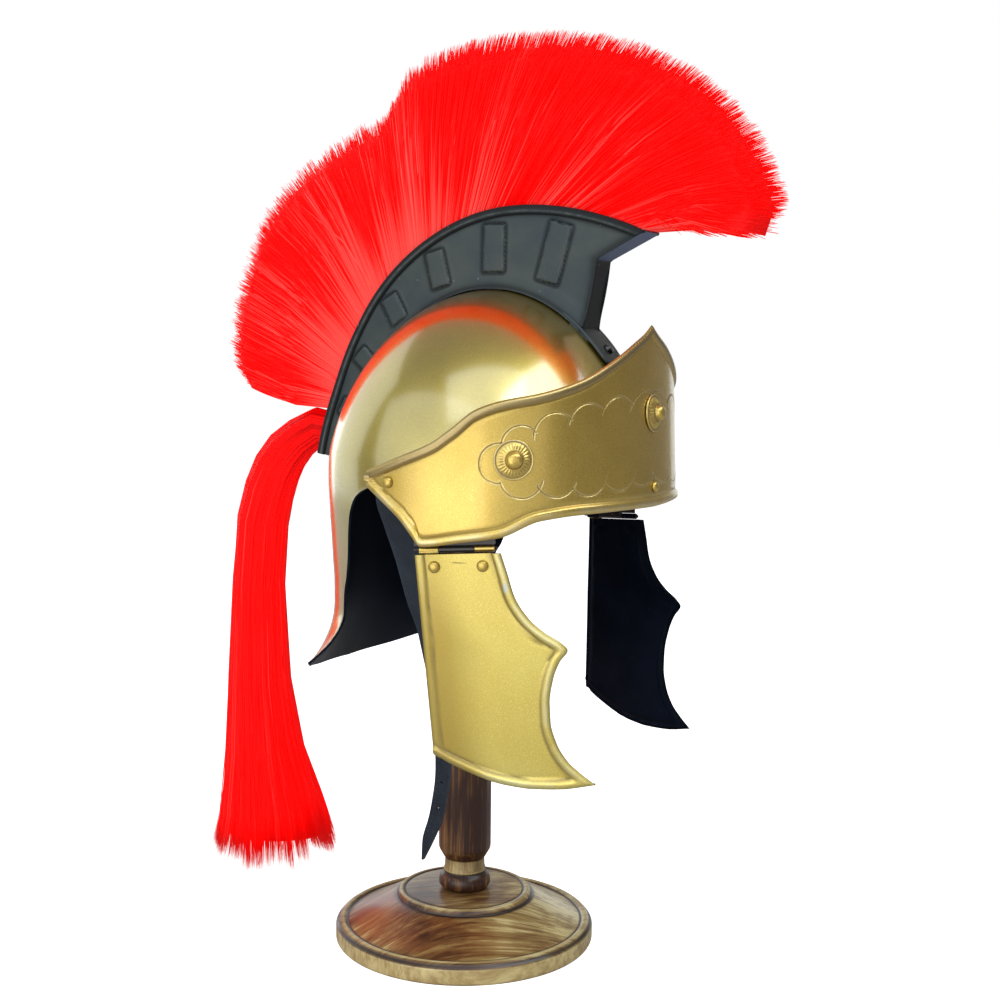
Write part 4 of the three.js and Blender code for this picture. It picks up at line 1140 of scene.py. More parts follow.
@dataclass
class Stand:
    """The turned base and post."""

    paints: Paints
    base_steps: int = 128
    post_steps: int = 72
    base_radius: float = 76.0
    base_height: float = 29.0
    plateau_radius: float = 41.0
    post_radius: float = 15.4
    tenon_radius: float = 8.0
    tenon: float = 14.0
    post_top_z: float = 374.7

    def build(self) -> None:
        """Builds both pieces."""
        self.base()
        self.post()

    def base(self) -> None:
        """The disc: pale edge, scorched shoulder, bead, groove, streaked dome, bead and plateau."""
        r, h, p = self.base_radius, self.base_height, self.plateau_radius
        bore = self.tenon_radius + 0.3
        profile = eased([
            (0, 0, 0), (r - 1.2, 0, 0), (r, 1.2, 1.0), (r, 9.2, 0.8), (r - 1.6, 10.7, 0.6),
            (r - 2.2, 11.7, 1.2), (r - 4.0, 12.4, 1.5), (r - 5.8, 11.9, 0.8), (r - 6.6, 11.0, 0.5),
            (r - 7.8, 11.3, 1.2), (58.0, 16.3, 8.0), (p + 2.6, 24.0, 6.0), (p - 0.9, 25.5, 0.4),
            (p - 1.4, 26.6, 0.8), (p - 3.0, 28.9, 1.6), (p - 5.4, 28.5, 0.6), (p - 6.0, 28.1, 0.4),
            (p - 7.2, 28.5, 1.2), (bore, h, 0), (bore, h - self.tenon, 0), (0, h - self.tenon, 0),
        ])
        bm = spun(profile, self.base_steps)
        radius, height = turned_sizes(bm)
        edge = (radius > r - 1.0) & (height < 9.3)
        bead = bell(radius, r - 4.0, 1.5, 4) * (height > 9)
        ring = bell(radius, p - 3.4, 1.3, 4) * (height > 24)
        # The paler plateau top is a painted sheen, standing in for the pale reflection on its varnish.
        top = (radius < p - 6) * (height > 24) * 0.36
        write_layer(bm, "pale", strongest(edge * 1.0, bead * 0.95, ring * 0.85, top))
        shoulder = bell(radius, r - 1.2, 1.3) * (height > 9.0) * 0.85
        groove = bell(radius, r - 6.9, 1.0) * (height > 9) * 0.85
        inner = bell(radius, p - 0.6, 1.2) * (height > 20)
        floor = bell(radius, p - 6.1, 1.0) * 0.8 * (height > 24)
        # Darker in a ring round the post's foot.
        post_foot_ring = bell(radius, 17.0, 3.0) * 0.5 * (height > 24)
        write_layer(bm, "burnt", strongest(shoulder, groove, inner, floor, post_foot_ring))
        x, y = (np.array([vert.co[i] for vert in bm.verts]) for i in (0, 1))
        left = np.exp(-(((x + 38) / 26) ** 2 + ((y - 42) / 30) ** 2))
        left = np.maximum(left, 0.6 * np.exp(-(((x + 52) / 22) ** 2 + ((y + 6) / 34) ** 2)))
        write_layer(bm, "red", left * (height > 12) * (radius > p) * (radius < r - 7))
        Piece("turned_base", bm, [self.paints.disc_wood], Slot.WOOD, stands_for=["stand_base"]).place()

    def post(self) -> None:
        """The post: collar bulge, pale neck, shoulder, streaked shaft and round head."""
        foot, r, top = self.base_height + 0.3, self.post_radius, self.post_top_z
        low = foot - self.tenon
        head = [
            (r * math.cos(turn), top - r + r * math.sin(turn))
            for turn in np.linspace(0, math.pi / 2, 14)
        ]
        profile = eased([
            (0, low, 0), (self.tenon_radius, low, 0), (self.tenon_radius, foot, 0), (12.6, foot, 0.6),
            (14.9, foot + 1.8, 2.0), (15.3, foot + 4.4, 3.0), (14.5, foot + 7.6, 2.0),
            (12.4, foot + 9.7, 0.5), (12.0, foot + 10.4, 0.4), (12.5, foot + 11.4, 0.9),
            (11.8, foot + 13.2, 1.0), (11.6, foot + 18.4, 1.2), (12.4, foot + 19.2, 0.4),
            (15.2, foot + 24.0, 1.2), (r, foot + 26.0, 1.0), (r, top - r, 0),
        ])
        bm = spun([*profile, *head[1:]], self.post_steps)
        radius, height = turned_sizes(bm)
        height = height - foot
        neck = smooth_step(height, 9.8, 10.8) * (1 - smooth_step(height, 17.6, 19.0)) * 0.56
        bevel = smooth_step(height, 19.4, 20.4) * (1 - smooth_step(height, 22.5, 29.5)) * 0.3
        collar = bell(height, 11.3, 0.7) * 0.85 * (radius > 11)
        write_layer(bm, "pale", strongest(neck, bevel, collar))
        dark = bell(height, 19.1, 0.5)
        seat = bell(height, 9.6, 1.3) * 0.9
        # Darker at the post's foot, where it meets the disc.
        sole = bell(height, 0.6, 1.0) * 0.7
        write_layer(bm, "burnt", strongest(dark, seat, sole))
        Piece("turned_post", bm, [self.paints.post_wood], Slot.WOOD, stands_for=["stand_post"]).place()


@dataclass
class Bowl:
    """The metal bowl with its ear notches and flared neck guard."""

    paints: Paints
    top_z: float = 289.5

    def build(self) -> None:
        """Maps a grid round the crown: v runs 0 to 1 over the dome, and 1 to 2 down the wall."""
        dense = ((95, 108, 12), (108, 117, 26), (117, 122.8, 12), (122.8, 124.2, 18))
        right = lines((0, 95, 34), *dense, (124.2, 180, 30))
        vs = lines((0, 1, 26), (1, 2, 34))
        bm = mapped_grid(both_sides(right), vs, self.spot, {"raised": self.rim})
        join_seams(bm)
        face_away(bm, lambda spot: Vector((0, FORM.centre_y, min(spot.z, FORM.widest_z))))
        Piece(
            "bowl_shell", bm, [self.paints.bowl, self.paints.lining], Slot.BOWL, stands_for=["bowl"],
            wall=FORM.bowl_wall,
        ).place()

    def spot(self, angle: Array, down: Array) -> Array:
        """A place on the bowl's outer face.

        Args:
            angle: round the helmet from the front, in degrees.
            down: 0 to 1 over the dome, 1 to 2 down the wall.

        Returns:
            The place.
        """
        end = math.acos((self.top_z - FORM.widest_z) / FORM.crown)
        dome = FORM.widest_z + FORM.crown * np.cos(end * np.minimum(down, 1.0))
        wall = self.top_z + (FORM.edge_z(angle) - self.top_z) * np.maximum(0.0, down - 1)
        return FORM.bowl(angle, np.where(down < 1, dome, wall), 0.0)

    def rim(self, angle: Array, down: Array) -> Array:
        """How near the lower edge a place is, from 0 to 1."""
        gap = (2 - down) * (self.top_z - FORM.edge_z(angle))
        return np.where(down > 1, bell(gap, 0, 1.2), 0.0)


@dataclass(frozen=True)
class Fastener:
    """A turned fastener: what its head looks like and how long its shank is."""

    profile: tuple[tuple[float, float, float], ...]
    shank: float = 1.3
    tail: float = 2.2
    tail_height: float = 0.8
    steps: int = 28

    def make(self, grip: float) -> Mesh:
        """The fastener, upright on its seat, with its shank through a grip."""
        below = [
            (0.0, -grip - self.tail_height, 0.0), (self.tail, -grip - self.tail_height, 0.3),
            (self.tail, -grip, 0.0), (self.shank, -grip, 0.0), (self.shank, 0.0, 0.0),
        ]
        return spun(eased([*below, *self.profile], 5), self.steps)


RIVET = Fastener(((3.1, 0.0, 0.0), (3.1, 0.35, 0.2), (2.75, 1.25, 0.9), (1.6, 2.0, 0.9), (0.0, 2.2, 0.0)))
ROSETTE = Fastener(
    (
        (10.3, 0.0, 0.0), (10.3, 0.5, 0.3), (9.9, 0.95, 0.35), (9.35, 0.75, 0.3), (8.9, 0.7, 0.3),
        (7.4, 1.7, 1.0), (5.3, 2.6, 0.8), (4.5, 2.75, 0.25), (4.25, 3.5, 0.7), (3.85, 5.2, 1.3),
        (2.4, 6.3, 1.4), (0.0, 6.6, 0.0),
    ),
    steps=112,
)


SCALLOPS = (
    ((58.3, 299.2), (64.4, 289.6), (58.4, 279.0)), ((58.2, 297.0), (54.4, 307.6), (48.4, 304.6)),
    ((49.2, 301.0), (45.1, 313.6), (37.8, 310.8)), ((38.8, 308.6), (34.3, 318.2), (26.8, 315.2)),
    ((27.4, 312.8), (22.7, 321.0), (13.2, 317.8)), ((14.4, 314.6), (9.0, 322.8), (-1.6, 322.6)),
    ((58.4, 279.6), (53.1, 271.6), (46.6, 280.4)), ((48.1, 278.0), (43.0, 271.8), (36.7, 278.8)),
    ((37.7, 276.4), (33.4, 272.0), (25.7, 281.0)), ((26.6, 278.2), (21.1, 273.4), (12.3, 281.0)),
    ((14.0, 277.4), (7.0, 274.6), (-1.5, 281.0)),
)


@dataclass
class BrowBand:
    """The upright band with rolled edges, engraved scallops, rivets and rosettes."""

    paints: Paints
    end_angle: float = 101.0
    bead_width: float = 5.0
    bead_height: float = 1.5
    bead_run: float = 6.6
    line_width: float = 0.3
    line_depth: float = 0.32
    flutes: int = 28
    rivet_grip: float = 6.1
    strap_grip: float = 11.3
    rosette_grip: float = 2.7
    rosette_angle: float = 54.9
    rosette_up: float = 0.545
    front_rosette_up: float = 0.518

    def build(self) -> None:
        """Builds the band and what is fastened to it."""
        self.band()
        for name, angle, up, grip in (
            ("band_rivet_right", FORM.side_rivet, FORM.side_rivet_up, self.strap_grip),
            ("band_rivet_left", -FORM.side_rivet, FORM.side_rivet_up, self.rivet_grip),
            ("band_rivet_front", 0.0, 0.11, self.rivet_grip),
        ):
            self.fasten(name, RIVET.make(grip), angle, up)
        for name, angle, up in (
            ("rosette_right", self.rosette_angle, self.rosette_up),
            ("rosette_left", -self.rosette_angle, self.rosette_up),
            ("rosette_front", 0.0, self.front_rosette_up),
        ):
            self.fasten(name, self.rosette(), angle, up)

    def fasten(self, node: str, bm: Mesh, angle: float, up: float) -> None:
        """Sets a fastener on the band in place of its node.

        Args:
            node: the CAD node.
            bm: the fastener.
            angle: round the helmet from the front, in degrees.
            up: share of the band's height.
        """
        spot, direction = FORM.band_spot(angle, up)
        stand_on(bm, spot, direction)
        Piece(f"{node}_piece", bm, [self.paints.trim], Slot.TRIM, stands_for=[node]).place()

    def rosette(self) -> Mesh:
        """A ringed disc whose cone is fluted, under a round knob.

        Returns:
            The mesh, upright on its seat.
        """
        bm = ROSETTE.make(self.rosette_grip)
        raised, hollow = [], []
        for vert in bm.verts:
            radius = math.hypot(vert.co.x, vert.co.y)
            wave = math.cos(self.flutes * math.atan2(vert.co.y, vert.co.x))
            cone = max(0.0, 1 - abs(radius - 6.9) / 2.2) if vert.co.z > 0.5 else 0.0
            vert.co.z += 0.16 * wave * min(1.0, cone * 2)
            # Painted shade in the ring valleys and flute troughs; the ring and flute crests are pale,
            # partly wear and partly a painted highlight.
            valley = bell(radius, 9.1, 0.35) + bell(radius, 4.6, 0.3)
            hollow.append(min(1.0, valley + max(0.0, -wave) * cone * 0.6))
            raised.append(bell(radius, 9.9, 0.45) + max(0.0, wave) * cone * 0.5)
        write_layer(bm, "raised", raised)
        write_layer(bm, "hollow", hollow)
        return bm

    def arc_length(self, angle: Array) -> Array:
        """Distance round the band from the front, by the angle.

        Args:
            angle: round the helmet from the front, in degrees.

        Returns:
            The distance, negative on the left.
        """
        stations = np.linspace(-self.end_angle, self.end_angle, 405)
        spots = FORM.band(stations, np.full_like(stations, 295.0), 1.5)
        steps = np.linalg.norm(np.diff(spots, axis=0), axis=1)
        length = np.concatenate([[0.0], np.cumsum(steps)])
        return np.interp(angle, stations, length - np.interp(0.0, stations, length))

    def row(self, angle: Array, v: Array) -> tuple[Array, Array, Array]:
        """Height of a grid row, with its distance from the lower and from the upper edge.

        Args:
            angle: round the band.
            v: 0 to 1 over the lower bead, 1 to 2 over the field, 2 to 3 over the upper bead.

        Returns:
            Height, distance from the lower edge, distance from the upper edge.
        """
        foot, top = FORM.band_foot(angle), FORM.band_top(angle)
        arc = self.arc_length(angle + 0.5) - self.arc_length(angle - 0.5)
        low_slope = (FORM.band_foot(angle + 0.5) - FORM.band_foot(angle - 0.5)) / arc
        high_slope = (FORM.band_top(angle + 0.5) - FORM.band_top(angle - 0.5)) / arc
        low_lean, high_lean = np.hypot(1, low_slope), np.hypot(1, high_slope)
        run = np.minimum(self.bead_run, (top - foot) * 0.3)
        low, high = foot + run * low_lean, top - run * high_lean
        z = np.where(v < 1, foot + run * low_lean * v, low + (high - low) * (v - 1))
        z = np.where(v > 2, top - run * high_lean * (3 - v), z)
        return z, (z - foot) / low_lean, (top - z) / high_lean

    def relief(self, angle: Array, v: Array) -> Array:
        """Height of the beads and depth of the line beside each.

        Args:
            angle: round the helmet from the front, in degrees.
            v: grid row.

        Returns:
            The height over the sheet.
        """
        _, low, high = self.row(angle, v)
        total = 0 * low
        for gap in (low, high):
            bow = np.clip(1 - (2 * gap / self.bead_width - 1) ** 2, 0.0, 1.0)
            total = total + self.bead_height * np.sqrt(bow)
            total = total - 0.3 * bell(gap - self.bead_width, 0.5, 0.6)
        return total

    def spot(self, angle: Array, v: Array) -> Array:
        """A place on the band's outer face."""
        z, _, _ = self.row(angle, v)
        return FORM.band(angle, z, FORM.band_wall + self.relief(angle, v))

    def bead_top(self, angle: Array, v: Array) -> Array:
        """1 on the crest of the lower bead, partly wear and partly a painted highlight, and on a painted
        highlight line by the sharp upper edge.

        Args:
            angle: round the helmet from the front, in degrees.
            v: grid row.

        Returns:
            The mark.
        """
        _, low, high = self.row(angle, v)
        bead = bell(low, self.bead_width * 0.45, 1.4)
        return np.maximum(bead, 0.8 * bell(high, 1.35, 0.45))

    def upper_bead_shade(self, angle: Array, v: Array) -> Array:
        """1 on the upper bead: a painted brown dark reflection on its downward-facing body."""
        _, _, high = self.row(angle, v)
        return bell(high, self.bead_width * 0.6, 1.7, 4) * 0.9

    def bead_shade(self, angle: Array, v: Array) -> Array:
        """1 in the painted shade beside a bead, stronger under the upper one, and on a painted shadow
        line along the upper edge.

        Args:
            angle: round the helmet from the front, in degrees.
            v: grid row.

        Returns:
            The mark.
        """
        _, low, high = self.row(angle, v)
        upper = bell(high, self.bead_width, 0.9)
        lower = bell(low - self.bead_width, 0.4, 0.7)
        edge = bell(high, 0.3, 0.45)
        return strongest(upper * 0.4, lower * 0.3, edge * 0.75)

    def scallops(self) -> list[tuple[Array, float, Array, float, float]]:
        """The engraved arcs.

        Returns:
            Centre, radius, direction of the middle point, and the turn back to the start and on
            to the end.
        """
        arcs = []
        for sign in (1, -1):
            for run in SCALLOPS:
                a, b, c = (np.array([float(self.arc_length(sign * t)), z]) for t, z in run)
                rows = 2 * np.array([b - a, c - a])
                centre = np.linalg.solve(rows, [b @ b - a @ a, c @ c - a @ a])
                middle = (b - centre) / np.linalg.norm(b - centre)
                side = np.array([-middle[1], middle[0]])
                turns = [math.atan2((end - centre) @ side, (end - centre) @ middle) for end in (a, c)]
                arcs.append((centre, float(np.linalg.norm(b - centre)), middle, min(turns), max(turns)))
        return arcs

    def line_gap(self, bm: Mesh) -> Array:
        """Distance of each vertex from the nearest engraved arc.

        Args:
            bm: the band's grid, with its run and height layers.

        Returns:
            The distances.
        """
        flat = np.stack([read_layer(bm, "run"), read_layer(bm, "height")], -1)
        gap = np.full(len(flat), 99.0)
        for centre, radius, middle, first, last in self.scallops():
            away = flat - centre
            size = np.linalg.norm(away, axis=1)
            turn = np.arctan2(away @ np.array([-middle[1], middle[0]]), away @ middle)
            past = np.maximum(np.maximum(first - turn, turn - last), 0.0) * radius
            gap = np.minimum(gap, np.hypot(size - radius, past))
        return gap

    def band(self) -> None:
        """Maps the band's grid, cuts it finer along the scallops and presses them in."""
        us = both_sides(lines((0, 66, 60), (66, self.end_angle, 30)))
        vs = lines((0, 1, 12), (1, 2, 40), (2, 3, 12))
        # The bead marks paint a highlight on the crests, shade beside the beads and a dark reflection on
        # the upper bead.
        notes = {
            "raised": self.bead_top, "hollow": self.bead_shade, "tan": self.upper_bead_shade,
            "run": lambda angle, v: self.arc_length(angle),
            "height": lambda angle, v: self.row(angle, v)[0],
        }
        bm = mapped_grid(us, vs, self.spot, notes)
        face_away(bm, lambda spot: Vector((0, FORM.centre_y, spot.z)))
        refine(bm, self.line_gap(bm) < 1.1, 4)
        gap = self.line_gap(bm)
        line = bell(gap, 0, self.line_width)
        lip = bell(gap, 0.62, 0.26)
        bm.verts.ensure_lookup_table()
        for vert, depth in zip(bm.verts, line * self.line_depth - lip * 0.08):
            vert.co -= vert.normal * float(depth)
        # Painted shade in the engraved lines and a painted highlight on their lips.
        add_mark(bm, "hollow", line * 0.6)
        add_mark(bm, "raised", lip * 0.8)
        Piece(
            "brow_band_sheet", bm, [self.paints.trim, self.paints.lining], Slot.TRIM,
            stands_for=["brow_band"], wall=FORM.band_wall,
        ).place()


@dataclass
class Crest:
    """The black sheet-metal channel along the top, its kinked front, and its tab and rivet."""

    paints: Paints
    front_angle: float = -31.5
    rear_angle: float = 77.5
    kink_angle: float = -25.2
    kink_depth: float = 26.0
    toe_angle: float = -30.0
    half_width: float = 9.5
    foot_half_width: float = 13.0
    foot_height: float = 13.0
    sheet: float = 1.2
    seat: float = 0.75
    foot_drop: float = 0.8
    rim_width: float = 2.1
    rim_height: float = 5.4
    panel_width: float = 14.6
    panel_relief: float = 1.5
    panel_margin: float = 8.6
    panel_corner: float = 1.6
    tab_foot: float = 0.625
    tab_rivet: float = 0.716
    tab_head: float = 0.873
    tab_half_width: float = 12.0
    tab_sheet: float = 1.5
    tab_grip: float = 5.7
    panels: tuple[tuple[float, float], ...] = (
        (-15.6, 1.0), (-0.8, 0.97), (14.4, 0.85), (29.6, 0.82), (45.5, 0.79), (61.0, 0.77),
    )

    def build(self) -> None:
        """Builds the channel, its front sheet, its rear end, the tab and the rivet."""
        self.channel()
        self.front()
        self.rear()
        self.tab()

    def start_angle(self, share: Array) -> Array:
        """Where the wall's front border lies, by the share of the channel's depth."""
        low = self.toe_angle + (self.kink_angle - self.toe_angle) * np.clip(share / 0.6, 0, 1)
        return low + (self.front_angle - self.kink_angle) * np.clip((share - 0.6) / 0.4, 0, 1)

    def section(self, v: Array, depth: Array) -> tuple[Array, Array]:
        """Half width and height of the wall.

        Args:
            v: 0 to 1 along the floor, 1 to 2 up the flared foot, 2 to 3 up the wall, 3 to 4
                round the rim.
            depth: the channel's depth.

        Returns:
            Half width and height above the bowl.
        """
        floor, flare = np.clip(v, 0, 1), np.clip(v - 1, 0, 1)
        wall, rim = np.clip(v - 2, 0, 1), np.clip(v - 3, 0, 1)
        spread = self.half_width + (self.foot_half_width - self.half_width) * (1 - flare) ** 2.4
        x = np.where(v > 1, spread, self.foot_half_width * floor)
        low = self.seat - self.foot_drop * floor
        height = np.where(v > 1, low + (self.foot_height - low) * flare, low)
        rim_foot = depth - self.rim_height
        height = np.where(v > 2, self.foot_height + (rim_foot - self.foot_height) * wall, height)
        turn = math.pi * rim
        x = np.where(v > 3, self.half_width + self.rim_width * np.sin(turn) ** 0.8, x)
        height = np.where(v > 3, depth - self.rim_height * (1 + np.cos(turn)) / 2, height)
        return x, height

    def spot(self, u: Array, v: Array) -> Array:
        """A place on the channel's outer face; v is negative on the right side."""
        angle, reach, x = self.charted(u, v)
        return FORM.crest(x, angle, reach)

    def charted(self, u: Array, v: Array) -> tuple[Array, Array, Array]:
        """Angle, distance from the bowl's centre and X of a grid corner.

        Args:
            u: share from the front border to the rear.
            v: row of the section.

        Returns:
            Angle, distance and X.
        """
        side = np.where(v < 0, -1.0, 1.0)
        guess = self.start_angle(np.clip((np.abs(v) - 1) / 3, 0, 1))
        angle = guess + (self.rear_angle - guess) * u
        for _ in range(3):
            depth = FORM.crest_top(angle) - FORM.reach(angle)
            x, height = self.section(np.abs(v), depth)
            start = self.start_angle(height / depth)
            angle = start + (self.rear_angle - start) * u
        return angle, FORM.reach(angle) + height, side * x

    def panel_gap(self, bm: Mesh) -> Array:
        """Distance of each vertex inside the nearest panel's border; less than 0 outside it.

        Args:
            bm: the channel's grid, with its angle and reach layers.

        Returns:
            The distances.
        """
        angle, reach = read_layer(bm, "angle"), read_layer(bm, "reach")
        best = np.full_like(angle, -99.0)
        for middle, width in self.panels:
            foot, top = FORM.reach(middle), FORM.crest_top(middle)
            low, high = foot + (top - foot) * 0.2, top - self.panel_margin
            turn = np.radians(angle - middle)
            across, up = reach * np.sin(turn), reach * np.cos(turn)
            ease = self.panel_corner
            dx = np.abs(across) - (self.panel_width * width / 2 - ease)
            dy = np.abs(up - (low + high) / 2) - ((high - low) / 2 - ease)
            outside = np.hypot(np.maximum(dx, 0), np.maximum(dy, 0)) + np.minimum(np.maximum(dx, dy), 0)
            best = np.maximum(best, ease - outside)
        return best

    def channel(self) -> None:
        """Maps the channel's walls and floor and raises the panels on both sides."""
        vs = both_sides(lines((0, 1, 4), (1, 2, 8), (2, 3, 22), (3, 4, 10)))
        us = lines((0, 1, 120))
        # The rim gets a thin painted highlight line, and the shade method paints the channel's dark rim,
        # foot and front border.
        notes = {
            "angle": lambda u, v: self.charted(u, v)[0], "reach": lambda u, v: self.charted(u, v)[1],
            "wall": lambda u, v: ((np.abs(v) > 1.4) & (np.abs(v) < 3)) * 1.0,
            "raised": lambda u, v: bell(np.abs(v), 3.42, 0.12) * 0.8, "hollow": self.shade,
        }
        bm = mapped_grid(us, vs, self.spot, notes)
        face_away(bm, self.inside)
        refine(bm, (np.abs(self.panel_gap(bm) + 0.1) < 1.9) & (read_layer(bm, "wall") > 0.5), 2)
        gap, wall = self.panel_gap(bm), read_layer(bm, "wall")
        crease = bell(gap, -0.5, 1.0) * wall
        lift = (smooth_step(gap, -0.5, 1.2) * self.panel_relief - crease * 0.55) * wall
        for vert, rise in zip(bm.verts, lift):
            vert.co.x += math.copysign(float(rise), vert.co.x)
        # Painted shade in the crease round each panel and a painted highlight just inside it.
        add_mark(bm, "hollow", crease * 0.85)
        add_mark(bm, "raised", bell(gap, 0.7, 0.5) * wall * 0.8)
        Piece(
            "crest_channel", bm, [self.paints.crest], Slot.BLACK, stands_for=["crest_holder"],
            wall=self.sheet,
        ).place()

    def shade(self, u: Array, v: Array) -> Array:
        """Painted shade on the channel: how dark it is on its rim, along its foot and at its front
        border.

        Args:
            u: share from the front border to the rear.
            v: row of the section.

        Returns:
            The mark.
        """
        height = np.abs(v)
        rim = smooth_step(height, 2.93, 3.03) * (0.97 - 0.75 * bell(height, 3.4, 0.08))
        foot = bell(height, 1.12, 0.12) * 0.8
        border = bell(u, 0, 0.015) * 0.85
        return strongest(rim, foot, border)

    def inside(self, spot: Vector) -> Vector:
        """The channel's inner middle line nearest a place.

        Args:
            spot: a place on the channel.

        Returns:
            The point inside.
        """
        angle = math.degrees(math.atan2(spot.y - FORM.centre_y, spot.z - FORM.widest_z))
        return Vector(FORM.crest(0.0, angle, (FORM.reach(angle) + FORM.crest_top(angle)) / 2))

    def front(self) -> None:
        """The kinked front sheet: slanting in from the tip, then down to the bowl."""
        tip_reach = FORM.crest_top(self.front_angle)
        path = np.array([
            FORM.crest(0.0, self.front_angle, tip_reach - 0.3),
            FORM.crest(0.0, self.kink_angle, tip_reach - self.kink_depth),
            FORM.crest(0.0, self.toe_angle, FORM.reach(self.toe_angle) + 0.6),
        ])
        widths = np.array([10.4, 9.45, 9.7])

        def spot(across: Array, down: Array) -> Array:
            """A place on the sheet's front face.

            Args:
                across: -1 to 1.
                down: 0 at the tip, 1 at the kink, 2 at the toe.

            Returns:
                The place.
            """
            i = np.minimum(down.astype(int), 1)
            t = (down - i)[:, None]
            middle = path[i] * (1 - t) + path[i + 1] * t
            middle[:, 0] = across * np.interp(down, (0, 1, 2), widths)
            middle[:, 1] -= 0.25
            return middle

        vs = np.array([0, 0.03, 0.5, 0.94, 1, 1.06, 1.5, 1.97, 2])
        bm = mapped_grid(np.array([-1, -0.94, 0, 0.94, 1]), vs, spot)
        face_away(bm, lambda place: place + Vector((0, 10, 4)))
        kink = float(path[1][2])
        # Above the kink the sheet takes the painted sheen, below it the painted shade.
        for part in bm.faces:
            part.material_index = int(part.calc_center_median().z < kink)
        Piece(
            "crest_front_sheet", bm, [self.paints.crest_front, self.paints.crest_shaded], Slot.BLACK,
            wall=self.sheet, bevel=0.35, sharp=30,
        ).place()
        flange = mapped_grid(lines((0, 1, 4)), lines((0, 1, 8)), self.flange_spot)
        face_away(flange, lambda place: Vector((place.x, place.y, place.z - 9)))
        Piece("crest_toe_flange", flange, [self.paints.crest], Slot.BLACK, wall=1.0, bevel=0.25).place()

    def flange_spot(self, along: Array, across: Array) -> Array:
        """A place on the small lip that spreads at the front of the channel's foot.

        Args:
            along: 0 at the front to 1.
            across: 0 to 1.

        Returns:
            The place.
        """
        angle = self.toe_angle - 3.4 + 7.0 * along
        x = (across * 2 - 1) * (self.foot_half_width + 0.6 - 2.2 * (1 - along))
        lift = 0.9 + 1.1 * (1 - np.abs(across * 2 - 1)) * 0.2
        bowl = FORM.reach(angle) * np.sqrt(np.maximum(0.0, 1 - (x / FORM.half_width) ** 2))
        return FORM.crest(x, angle, bowl + lift)

    def rear(self) -> None:
        """The sheet that closes the channel's rear end."""

        def spot(across: Array, up: Array) -> Array:
            """A place on the end sheet.

            Args:
                across: -1 to 1.
                up: 0 to 1.

            Returns:
                The place.
            """
            foot = FORM.reach(self.rear_angle)
            reach = foot + (0.4 + (FORM.crest_top(self.rear_angle) - foot - 1.2) * up)
            half = self.half_width + (self.foot_half_width - self.half_width) * (1 - up) ** 4
            return FORM.crest(across * (half - 0.3), self.rear_angle - 0.1, reach)

        bm = mapped_grid(lines((-1, 1, 8)), lines((0, 1, 8)), spot)
        face_away(bm, lambda place: place + Vector((0, -4, 9)))
        Piece("crest_rear_sheet", bm, [self.paints.crest], Slot.BLACK, wall=self.sheet).place()

    def tab(self) -> None:
        """The riveted tab on the bowl's front, and its rivet."""
        heights = (self.tab_foot, 0.629, 0.64, 0.66, 0.702, 0.759, self.tab_head)
        width = Table(heights, (0.2, 0.42, 0.64, 0.84, 0.97, 1, 1))

        def spot(across: Array, up: Array) -> Array:
            """A place on the tab's outer face, its long edges turned up a little."""
            lip = 0.7 * smooth_step(np.abs(across), 0.8, 1.0)
            flat = FORM.front(across * width.at(up) * self.tab_half_width, up, 2.0)
            return flat + lip[:, None] * np.array([0, -0.7, 0.7])

        vs = lines((self.tab_foot, 0.66, 10), (0.66, self.tab_head, 14))
        bm = mapped_grid(lines((-1, -0.75, 4), (-0.75, 0.75, 10), (0.75, 1, 4)), vs, spot)
        face_away(bm, lambda place: Vector((0, FORM.centre_y, FORM.widest_z)))
        Piece("crest_tab", bm, [self.paints.crest], Slot.BLACK, wall=self.tab_sheet, bevel=0.3).place()
        seat, above = (Vector(FORM.front(0.0, self.tab_rivet, out)) for out in (2.3, 3.3))
        rivet = stand_on(RIVET.make(self.tab_grip), seat, (above - seat).normalized())
        node = "crest_tab_rivet"
        Piece(f"{node}_piece", rivet, [self.paints.rivet], Slot.BLACK, stands_for=[node]).place()


def corner_rings(spot: Array, across: tuple[Array, Array], radius: Array, spin: Array) -> Array:
    """Three corners round a place on each strand.

    Args:
        spot: the place on each strand.
        across: two directions across each strand.
        radius: the strands' radius there.
        spin: how far each one's corners are turned.

    Returns:
        The corners, as strand, corner and coordinate.
    """
    turn = spin[:, None, None] + np.arange(3)[None, :, None] * math.tau / 3
    first, second = across
    offset = first[:, None] * np.cos(turn) + second[:, None] * np.sin(turn)
    return spot[:, None] + offset * radius[:, None, None]


